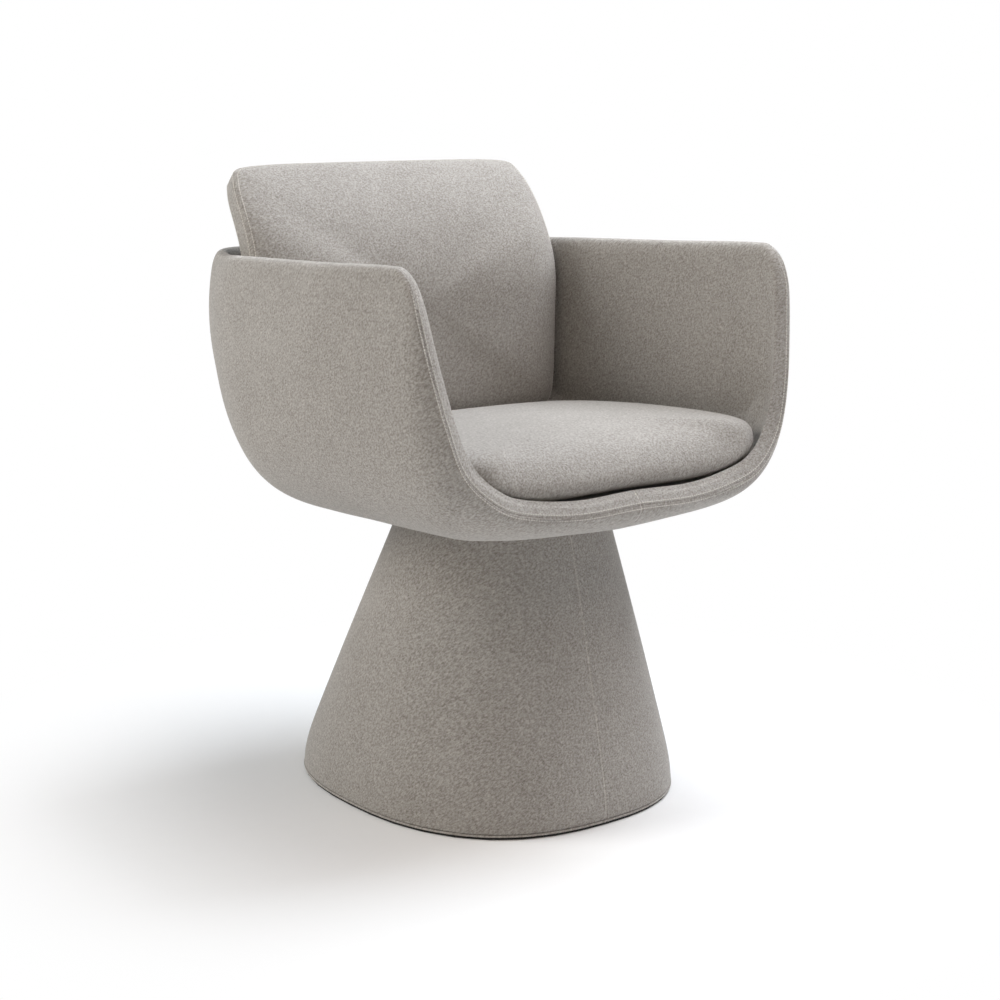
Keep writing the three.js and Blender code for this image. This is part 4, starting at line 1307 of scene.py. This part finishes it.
def carry_movement(coarse: PanelMesh, moved: np.ndarray, fine: PanelMesh) -> np.ndarray:
    """Carries the simulated movement from the coarse mesh to the fine one.

    Args:
        coarse: The simulated mesh, with even steps.
        moved: Its points' movement.
        fine: The mesh to move.

    Returns:
        The movement of each fine point.
    """
    n, m = len(coarse.grid.steps), len(coarse.border_rows)
    edge = coarse.grid.rim_indices()
    count = n * n
    face, back = moved[:count].reshape(n, n, 3), moved[-count:].reshape(n, n, 3)
    border = np.array([
        moved[:count][edge],
        *moved[count : count + m * len(edge)].reshape(m, len(edge), 3),
        moved[-count:][edge],
    ])
    steps = fine.grid.steps
    b, a = np.meshgrid(steps, steps, indexing="ij")
    row, column = (b.ravel() + 1) / 2 * (n - 1), (a.ravel() + 1) / 2 * (n - 1)
    parts = [read_grid(face, row, column, False)]
    _, around = fine.grid.grid()
    around = around.ravel()[fine.grid.rim_indices()]
    shares = np.concatenate([[0], coarse.border_rows, [1]])
    for t in fine.border_rows:
        place = np.interp(t, shares, np.arange(len(shares)))
        parts.append(read_grid(border, np.full(len(around), place), around / AROUND * len(edge), True))
    parts.append(read_grid(back, row, column, False))
    return np.vstack(parts)


def clustered(count: int, ends: Sequence[float]) -> np.ndarray:
    """Steps from -1 to 1, even in the middle and closer at both ends.

    Args:
        count: How many even steps lie on each side of the middle.
        ends: Distances from each end, as shares, that are added there.

    Returns:
        The rising steps.
    """
    inner = 1 - max(ends)
    even = np.linspace(-inner, inner, 2 * count + 1)
    close = 1 - np.array(sorted(ends))[:-1]
    return np.sort(np.concatenate([[-1, 1], even, close, -close]))


@dataclass
class BackPad:
    """The back pad: front and rear panels, a boxing round the edge and twin-needle seams."""

    felt: bpy.types.Material
    stitches: StitchRows
    half_width: float = 0.242
    foot_z: float = 0.4372
    top_z: float = 0.7988
    middle_z: float = 0.62
    front_y: float = 0.154
    lean: float = 0.086
    lean_start: float = 0.5
    boxing: float = 0.029
    front_crown: float = 0.0155
    side_swell: float = 0.009
    rear_crown: float = 0.020
    rear_tuck: float = 0.056
    rear_taper: float = 0.002
    tuck_end: float = 0.24
    bow: float = 1.2 * MM
    # The seams' grooves have a slight painted shade.
    seam: SeamProfile = SeamProfile()
    seam_turn: float = 4 * MM
    needle_gap: float = 3.3 * MM
    rear_pin: float = 0.25
    fill: ClothFill = ClothFill(pressure=3.0, cap=5 * MM)

    # Half outline, foot centre to top centre: half width and height shares.
    OUTLINE = (
        (0.0, 0.0), (0.4, 0.0), (0.74, 0.005), (0.88, 0.022), (0.945, 0.055), (0.978, 0.1), (0.99, 0.2),
        (0.995, 0.42), (1.0, 0.62), (0.99, 0.73), (0.983, 0.825), (0.973, 0.896), (0.953, 0.945),
        (0.92, 0.979), (0.83, 0.991), (0.61, 0.998), (0.3, 1.0), (0.0, 1.0),
    )
    # Rows of the outline where the corners of the panels' grid lie.
    CORNERS = (4.0, 13.0, 21.0, 30.0)
    # Crown of a panel and swell beside the side seams: inset share and the share of the full height there.
    CROWN_AT = (0.0, 0.03, 0.1, 0.24, 0.48, 0.74, 1.0)
    CROWN = (0.0, 0.28, 0.56, 0.8, 0.95, 0.995, 1.0)
    SIDE_SWELL = (0.0, 0.22, 0.7, 1.0, 0.85, 0.35, 0.0)
    # Height shares between which the swell fades out, and how closely it keeps to the sides.
    SWELL_HEIGHTS, SWELL_POWER = (0.72, 0.96), 4
    # Distances from the seam, in millimetres, of grid lines in the panels and in the boxing.
    PANEL_LINES = (0.45, 0.9, 1.35, 1.8, 2.3, 2.9, 3.7, 4.7, 6.0, 8.0, 10.5)
    BOXING_LINES = (0.45, 0.9, 1.35, 1.8, 2.3, 2.9, 3.7, 4.7, 6.2, 8.5)
    # Lines of the cloth trial's grid and boxing, and even lines of the final grid's half and boxing.
    TRIAL_LINES, TRIAL_ROWS, HALF_LINES, EVEN_ROWS = 61, 7, 46, 8
    # The boxing's row that tells which way it leaves its seam, and how near a point is one of the seam's.
    SIDE_ROW, ON_SEAM = 3, 1e-6

    def surface(self, out: np.ndarray, rows: np.ndarray, through: float) -> np.ndarray:
        """Places of the pad.

        Args:
            out: Share of the way from the middle to the seam.
            rows: Outline rows.
            through: 0 on the front seam, 1 on the rear seam.

        Returns:
            Points, n by 3.
        """
        height = self.top_z - self.foot_z
        share = rows[:, 1] * out + 0.5 * (1 - out)
        leaning = np.maximum((share - self.lean_start) / (1 - self.lean_start), 0)
        y = self.front_y + self.lean * leaning**2
        slope = 2 * self.lean * leaning / ((1 - self.lean_start) * height)
        rearward = unit(np.stack([np.zeros_like(slope), np.ones_like(slope), -slope], axis=1))
        low = np.maximum(1 - share / self.tuck_end, 0)
        half = out * self.half_width - through * (self.rear_taper + self.rear_tuck * low * low)
        crown, swell = (monotone(1 - out, self.CROWN_AT, form) for form in (self.CROWN, self.SIDE_SWELL))
        depth = through * self.boxing + (self.rear_crown * through - self.front_crown * (1 - through)) * crown
        beside = np.abs(rows[:, 0]) ** self.SWELL_POWER * (1 - faded(rows[:, 1], self.SWELL_HEIGHTS))
        depth -= (1 - through) * self.side_swell * beside * swell
        bow = self.bow * math.sin(through * math.pi)
        point = np.stack([rows[:, 0] * (half + bow * out), y, self.foot_z + share * height], axis=1)
        return point + rearward * depth[:, None]

    def panel_mesh(self, steps: np.ndarray, border: np.ndarray) -> PanelMesh:
        """Lays the pad's mesh on given steps."""
        return sew_panels(PanelGrid(steps, mirrored(self.OUTLINE), self.CORNERS), border, self.surface)

    def seam_directions(self, grid: PanelGrid, panel: np.ndarray, second: np.ndarray) -> np.ndarray:
        """Ways in which a panel's points rise beside its seam.

        Args:
            grid: The panel's grid.
            panel: The panel's points.
            second: Points of the boxing a little way from the seam.

        Returns:
            A unit vector for each point of the panel.
        """
        seam_at = grid.from_edge(panel[grid.rim_indices()])
        distance = np.linalg.norm(panel - seam_at, axis=1)
        flat_out = -unit(grid.from_edge(second) - seam_at)
        outward = unit(flat_out - unit(panel - seam_at))
        blend = np.clip(distance / self.seam_turn, 0, 1)[:, None]
        way = unit(outward * (1 - blend) + flat_out * blend)
        aside = unit(seam_at - [0, 0, self.middle_z]) * [1, 0, 1]
        return np.where((distance < self.ON_SEAM)[:, None], unit(flat_out + aside), way)

    def press_seams(
        self, mesh: PanelMesh, points: np.ndarray
    ) -> tuple[np.ndarray, np.ndarray, list[np.ndarray]]:
        """Presses both seams with a slight painted shade in their grooves and finds the needle rows beside
        them.

        Args:
            mesh: The fine mesh.
            points: Its moved points.

        Returns:
            The pressed points, their painted shade and the paths of the needle rows.
        """
        rows, edge = len(mesh.border_rows), mesh.grid.rim_indices()
        count = len(mesh.grid.steps) ** 2
        boxing = slice(count, count + rows * len(edge))
        border = points[boxing].reshape(rows, len(edge), 3)
        moved, tone = points.copy(), np.zeros(len(points))
        paths = []
        seams = ((0, border[self.SIDE_ROW]), (len(points) - count, border[-1 - self.SIDE_ROW]))
        for start, second in seams:
            face = slice(start, start + count)
            panel = points[face]
            seam = panel[edge]
            distance = np.linalg.norm(panel - mesh.grid.from_edge(seam), axis=1)
            moved[face] += self.seam_directions(mesh.grid, panel, second) * self.seam.rise(distance)[:, None]
            # Painted shade along the seam's groove, on the panel and on the boxing.
            tone[face] = self.seam.tone(distance)
            gaps = np.linalg.norm(border - seam, axis=2)
            side = unit(seam - [0, seam[:, 1].mean(), self.middle_z]) * [1, 0, 1]
            moved[boxing] += (side * self.seam.rise(gaps)[..., None]).reshape(-1, 3)
            tone[boxing] += self.seam.tone(gaps).ravel()
            row = int(np.argmin(np.abs(np.median(gaps, axis=1) - self.needle_gap)))
            paths.append(moved[count + row * len(edge) : count + (row + 1) * len(edge)])
            paths.append(self.needle_row(mesh, moved[face]))
        return moved, tone, paths

    def needle_row(self, mesh: PanelMesh, panel: np.ndarray) -> np.ndarray:
        """The grid row of a panel that lies nearest the needle's distance from its seam."""
        n = len(mesh.grid.steps)
        block = panel.reshape(n, n, 3)
        inset = (1 - mesh.grid.steps[n // 2 :]) * self.half_width
        k = int(np.argmin(np.abs(inset - self.needle_gap))) + n // 2
        j = n - 1 - k
        return np.concatenate([block[j:k, k], block[k, k:j:-1], block[k:j:-1, j], block[j, j:k]])

    def build(self) -> None:
        """Fills, sews and dresses the pad."""
        trial = self.panel_mesh(
            np.linspace(-1, 1, self.TRIAL_LINES), np.linspace(0, 1, self.TRIAL_ROWS)[1:-1])
        edge, count = trial.grid.rim_indices(), len(trial.grid.steps) ** 2
        pinned = np.zeros(len(trial.points))
        pinned[edge] = 1
        pinned[-count:] = self.rear_pin
        pinned[len(trial.points) - count + edge] = 1
        moved = self.fill.run(trial, pinned)
        ends = np.array(self.PANEL_LINES) * MM / self.half_width
        near = np.array(self.BOXING_LINES) * MM / self.boxing
        even = np.linspace(near[-1], 1 - near[-1], self.EVEN_ROWS)[1:-1]
        fine = self.panel_mesh(
            clustered(self.HALF_LINES, ends), np.concatenate([near, even, (1 - near)[::-1]]))
        points, tone, paths = self.press_seams(fine, fine.points + carry_movement(trial, moved, fine))
        pad = make_mesh("back_pad_felt", points, fine.faces, tone)
        pad.data.materials.append(self.felt)
        ride_on(pad, Body.SEAT, "felt_cushion", "back_pad")
        ride_on(self.stitches.sew("back_pad_stitches", paths), Body.SEAT, "felt_cushion")


@dataclass
class SeatCushion:
    """The seat cushion: one crowned panel over a flat underside, sewn at its low edge.

    Where the seam rises less than front_lift of its full rise, the front's fuller round takes over. The
    gathers lie round the front corners, in front of gather_front.
    """

    felt: bpy.types.Material
    half_width: float = 0.2375
    front_y: float = -0.291
    rear_y: float = 0.132
    foot_z: float = 0.4308
    height: float = 0.0615
    seam_rise: float = 0.034
    rear_fall: float = 0.0225
    corner_fall: float = 0.009
    front_lift: float = 0.45
    least_radius: float = 0.02
    under_edge: float = 0.14
    under_inset: float = 0.22
    gather: float = 2.2 * MM
    gather_corner: tuple[float, float] = (0.178, 0.262)
    gather_reach: float = 0.045
    gather_front: float = -0.15
    seam_weld: float = 0.02 * MM
    fill: ClothFill = ClothFill(pressure=3.0, cap=2.5 * MM, slack=-0.006)

    # Half outline, front centre to rear centre: x and y shares, then how far its edge has risen.
    OUTLINE = (
        (0.0, -1.0, -0.11), (0.42, -0.997, -0.11), (0.68, -0.985, 0.03), (0.845, -0.955, 0.4),
        (0.94, -0.885, 0.72), (0.98, -0.76, 0.86), (0.995, -0.45, 0.9), (1.0, 0.0, 0.8),
        (0.985, 0.5, 0.6), (0.95, 0.83, 0.45), (0.87, 0.945, 0.4), (0.68, 0.99, 0.35), (0.35, 1.0, 0.3),
        (0.0, 1.0, 0.3),
    )
    # Rows of the outline where the corners of the panels' grid lie.
    CORNERS = (4.0, 9.6, 16.4, 22.0)
    # Way over the edge from the seam (1) inwards, with the inset and height as shares of the height.
    WAY = (0.40, 0.52, 0.64, 0.74, 0.82, 0.88, 0.925, 0.962, 1.0)
    INSET = (1.9, 1.15, 0.62, 0.32, 0.13, 0.03, 0.0, 0.03, 0.18)
    FRONT_INSET = (2.9, 2.05, 1.35, 0.85, 0.44, 0.15, 0.0, 0.04, 0.24)
    RISE = (0.995, 0.98, 0.94, 0.86, 0.73, 0.52, 0.27, 0.1, 0.0)
    # Shares of the way out over which the gathers deepen, how steeply they do, how upright they lie, how
    # many there are in a radian round the middle, how sharp their folds are and how far they stand out.
    GATHER_OUT, GATHER_POWER, GATHER_LEAN = (0.80, 0.96), 1.5, 0.3
    GATHER_RATE, GATHER_SHARPNESS, GATHER_STAND = 27.0, 0.7, 0.5
    # Lines of the cloth trial's grid, even lines of the final grid's half, and shares of the way in from
    # the seam where it has more of them.
    TRIAL_LINES, HALF_LINES = 57, 64
    EDGE_LINES = (0.003, 0.006, 0.009, 0.0125, 0.016, 0.020, 0.025, 0.031, 0.038, 0.046)

    def surface(self, out: np.ndarray, rows: np.ndarray, through: float) -> np.ndarray:
        """Places of the cushion.

        Args:
            out: Share of the way from the middle to the seam.
            rows: Outline rows.
            through: 0 on the crowned panel, 1 on the underside.

        Returns:
            Points, n by 3.
        """
        half_length = (self.rear_y - self.front_y) / 2
        flat = np.stack([rows[:, 0] * self.half_width, rows[:, 1] * half_length], axis=1)
        length = np.linalg.norm(flat, axis=1)
        seam_rise = rows[:, 2] * self.seam_rise
        if through > 0:
            edge = 1 - self.under_edge
            inset = monotone(1 - out, (0.0, self.under_edge, 1.0), (self.under_inset, 1.0, 1.0))
            radius = np.maximum(length - inset * self.height, 0) * np.minimum(out / edge, 1)
            lifted = np.clip((out - edge) / self.under_edge, 0, 1)
            return self.seat_at(flat, length, radius, self.foot_z + seam_rise * lifted)
        front = np.where(rows[:, 1] < 0, faded(rows[:, 2], (self.front_lift, 0.0)), 0.0)
        side, ahead = (monotone(out, self.WAY, inset) for inset in (self.INSET, self.FRONT_INSET))
        drawn = (side + (ahead - side) * front) * self.height
        radius = np.maximum(length - drawn, self.least_radius) * np.minimum(out / self.WAY[0], 1)
        tall = monotone(out, (0.0, *self.WAY), (1.0, *self.RISE))
        share = radius / np.maximum(length, TINY)
        rearward, aside = (1 + flat[:, 1] * share / half_length) / 2, rows[:, 0] * share
        fall = self.rear_fall * rearward**2 + self.corner_fall * aside**2 * rearward**4
        z = seam_rise + (self.height - fall - seam_rise) * tall
        return self.seat_at(flat, length, radius, self.foot_z + z)

    def seat_at(
        self, flat: np.ndarray, length: np.ndarray, radius: np.ndarray, z: np.ndarray
    ) -> np.ndarray:
        """Puts plan points at a radius and a height."""
        plan = flat * (radius / np.maximum(length, TINY))[:, None]
        return np.stack([plan[:, 0], plan[:, 1] + (self.front_y + self.rear_y) / 2, z], axis=1)

    def gathers(self, mesh: PanelMesh, points: np.ndarray) -> np.ndarray:
        """Small folds that the round front corners of the low edge take up.

        Args:
            mesh: The fine mesh.
            points: Its points.

        Returns:
            The moved points.
        """
        count = len(mesh.grid.steps) ** 2
        face = points[:count]
        centre = np.array([0.0, (self.front_y + self.rear_y) / 2, self.foot_z])
        way = unit((face - centre) * [1, 1, self.GATHER_LEAN])
        reach = np.linalg.norm(np.abs(face[:, :2]) - self.gather_corner, axis=1)
        near = np.where(face[:, 1] < self.gather_front, bell(reach, self.gather_reach), 0.0)
        start, full = self.GATHER_OUT
        low = np.clip((mesh.grid.grid()[0].ravel() - start) / (full - start), 0, 1) ** self.GATHER_POWER
        angle = np.arctan2(face[:, 1] - centre[1], np.abs(face[:, 0]))
        wave = np.abs(np.sin(angle * self.GATHER_RATE * 2 * math.pi))
        folds = self.GATHER_STAND - wave**self.GATHER_SHARPNESS
        moved = points.copy()
        moved[:count] += way * (self.gather * folds * near * low)[:, None]
        return moved

    def build(self) -> None:
        """Fills, gathers and dresses the cushion."""
        outline, no_rows = mirrored(self.OUTLINE), np.array([])
        grid = PanelGrid(np.linspace(-1, 1, self.TRIAL_LINES), outline, self.CORNERS)
        trial = sew_panels(grid, no_rows, self.surface)
        pinned = np.zeros(len(trial.points))
        pinned[len(grid.steps) ** 2 :] = 1
        pinned[grid.rim_indices()] = 1
        moved = self.fill.run(trial, pinned)
        final = PanelGrid(clustered(self.HALF_LINES, self.EDGE_LINES), outline, self.CORNERS)
        fine = sew_panels(final, no_rows, self.surface)
        points = self.gathers(fine, fine.points + carry_movement(trial, moved, fine))
        cushion = make_mesh("seat_cushion_felt", points, fine.faces, np.zeros(len(points)))
        weld = cushion.modifiers.new("close_seam", "WELD")
        weld.merge_threshold = self.seam_weld
        cushion.data.materials.append(self.felt)
        ride_on(cushion, Body.SEAT, "felt_cushion", "seat_cushion")


# Room and camera


@dataclass
class Studio:
    """Camera at the photograph's angle, a pale floor and soft lamps."""

    eye: tuple[float, float, float] = (-1.5254, -2.0147, 0.894)
    tilt: float = 78.28
    yaw: float = -37.6
    lens: float = 71.42
    sensor: float = 36.0
    aim: tuple[float, float, float] = (0.0, 0.0, 0.45)
    floor_half: float = 12.0
    floor_grain: float = 25 * MM
    fade_start: float = 0.3
    fade_end: float = 0.8
    world_level: float = 0.08

    # Name, place, side, power and colour of each soft lamp.
    LAMPS = (
        ("right_top_lamp", (1.2, -0.2, 2.6), 1.6, 76.0, "f2f8ff"),
        ("left_rear_lamp", (-2.4, 1.6, 2.2), 1.8, 64.0, "fffefc"),
        ("front_top_lamp", (0.2, -1.6, 2.8), 1.6, 23.5, "fff4ee"),
        ("rear_top_lamp", (-0.2, 0.9, 2.8), 1.6, 9.0, "d8ebff"),
        ("right_fill_lamp", (3.0, -0.6, 1.6), 2.0, 5.5, "fff4e6"),
        ("left_fill_lamp", (-3.0, -0.6, 1.6), 2.0, 5.0, "ffdc96"),
    )

    def camera(self) -> None:
        """Makes the camera."""
        data = bpy.data.cameras.new("studio_camera")
        data.lens, data.sensor_width = self.lens, self.sensor
        obj = new_object("studio_camera", data)
        obj.location = self.eye
        obj.rotation_euler = (math.radians(self.tilt), 0, math.radians(self.yaw))
        bpy.context.scene.camera = obj

    def lamp(
        self, name: str, place: tuple[float, float, float], size: float, power: float, colour: str
    ) -> None:
        """Makes a soft square lamp that faces the seat.

        Args:
            name: The lamp's name.
            place: Where it hangs.
            size: Its side.
            power: Its power in watts.
            colour: Its colour.
        """
        data = bpy.data.lights.new(name, "AREA")
        data.shape, data.size, data.energy = "SQUARE", size, power
        data.color = linear(colour)[:3]
        obj = new_object(name, data)
        obj.location = place
        x, y, z = np.array(self.aim) - np.array(place)
        obj.rotation_euler = (math.atan2(math.hypot(x, y), -z), 0, math.atan2(y, x) - math.pi / 2)

    def world(self) -> None:
        """White behind the object, and an even soft level on it."""
        world = bpy.data.worlds.new("studio_air")
        world.use_nodes = True
        tree = world.node_tree
        tree.nodes.clear()
        path = add_node(tree, "ShaderNodeLightPath")
        seen = add_node(tree, "ShaderNodeMath", {"operation": "MAXIMUM"}, {
            0: path.outputs["Is Camera Ray"], 1: path.outputs["Is Glossy Ray"]})
        air = add_node(tree, "ShaderNodeBackground", inputs={
            "Color": linear("fbfbfc"), "Strength": self.world_level})
        white = add_node(tree, "ShaderNodeBackground", inputs={"Color": (1, 1, 1, 1), "Strength": 1.0})
        mix = add_node(tree, "ShaderNodeMixShader", inputs={
            0: seen.outputs[0], 1: air.outputs[0], 2: white.outputs[0]})
        add_node(tree, "ShaderNodeOutputWorld", inputs={"Surface": mix.outputs[0]})
        bpy.context.scene.world = world

    def floor(self) -> None:
        """A wide pale floor that keeps the shadow and turns to plain white further out."""
        material, tree = new_material("matt_white_floor")
        place = add_node(tree, "ShaderNodeTexCoord").outputs["Object"]
        reach = add_node(tree, "ShaderNodeVectorMath", {"operation": "LENGTH"}, {0: place})
        fade = add_node(tree, "ShaderNodeMapRange", {"interpolation_type": "SMOOTHSTEP"}, {
            "Value": reach.outputs["Value"], "From Min": self.fade_start, "From Max": self.fade_end})
        path = add_node(tree, "ShaderNodeLightPath")
        seen = add_node(tree, "ShaderNodeMath", {"operation": "MULTIPLY"}, {
            0: fade.outputs[0], 1: path.outputs["Is Camera Ray"]})
        grain = add_node(tree, "ShaderNodeTexNoise", inputs={
            "Vector": place, "Scale": 1 / self.floor_grain})
        colour = add_node(tree, "ShaderNodeMix", {"data_type": "RGBA"}, {
            "Factor": grain.outputs["Fac"], MIX_A: linear("fcfcfc"), MIX_B: linear("fafafa")})
        matt = add_node(tree, "ShaderNodeBsdfDiffuse", inputs={"Color": colour.outputs[MIX_RESULT]})
        white = add_node(tree, "ShaderNodeEmission", inputs={"Color": (1, 1, 1, 1), "Strength": 1.0})
        mix = add_node(tree, "ShaderNodeMixShader", inputs={
            0: seen.outputs[0], 1: matt.outputs[0], 2: white.outputs[0]})
        add_node(tree, "ShaderNodeOutputMaterial", inputs={"Surface": mix.outputs[0]})
        half = self.floor_half
        mesh = bpy.data.meshes.new("studio_floor")
        corners = [(-half, -half, 0), (half, -half, 0), (half, half, 0), (-half, half, 0)]
        mesh.from_pydata(corners, [], [(0, 1, 2, 3)])
        mesh.materials.append(material)
        new_object("studio_floor", mesh)

    def build(self) -> None:
        """Builds camera, floor, lamps and world."""
        self.camera()
        self.floor()
        for lamp in self.LAMPS:
            self.lamp(*lamp)
        self.world()
        bpy.context.scene.view_settings.view_transform = "Standard"


def dress_nodes() -> None:
    """Gives every CAD node that stays its own finish."""
    for finish, starts in NODE_FINISHES.items():
        material = finish.build()
        for name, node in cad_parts.items():
            if name.startswith(starts):
                node.data.materials.clear()
                node.data.materials.append(material)
                LOG.info("%s: %s", name, finish.name)


def main() -> None:
    """Builds the chair's looks in order."""
    logging.basicConfig(level=logging.INFO, format="%(message)s")
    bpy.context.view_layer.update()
    Studio().build()
    felt = WoolFelt("wool_felt_outer").build()
    felt_inside = WoolFelt("wool_felt_inner").build()
    felt_cushion = WoolFelt("wool_felt_cushion").build()
    stitches = StitchRows(ThreadFinish().build())
    PedestalCover(felt).build()
    BucketShell(felt, felt_inside, POLYURETHANE_FOAM.build(), stitches).build()
    SeatCushion(felt_cushion).build()
    BackPad(felt_cushion, stitches).build()
    dress_nodes()


if __name__ == "__main__":
    main()
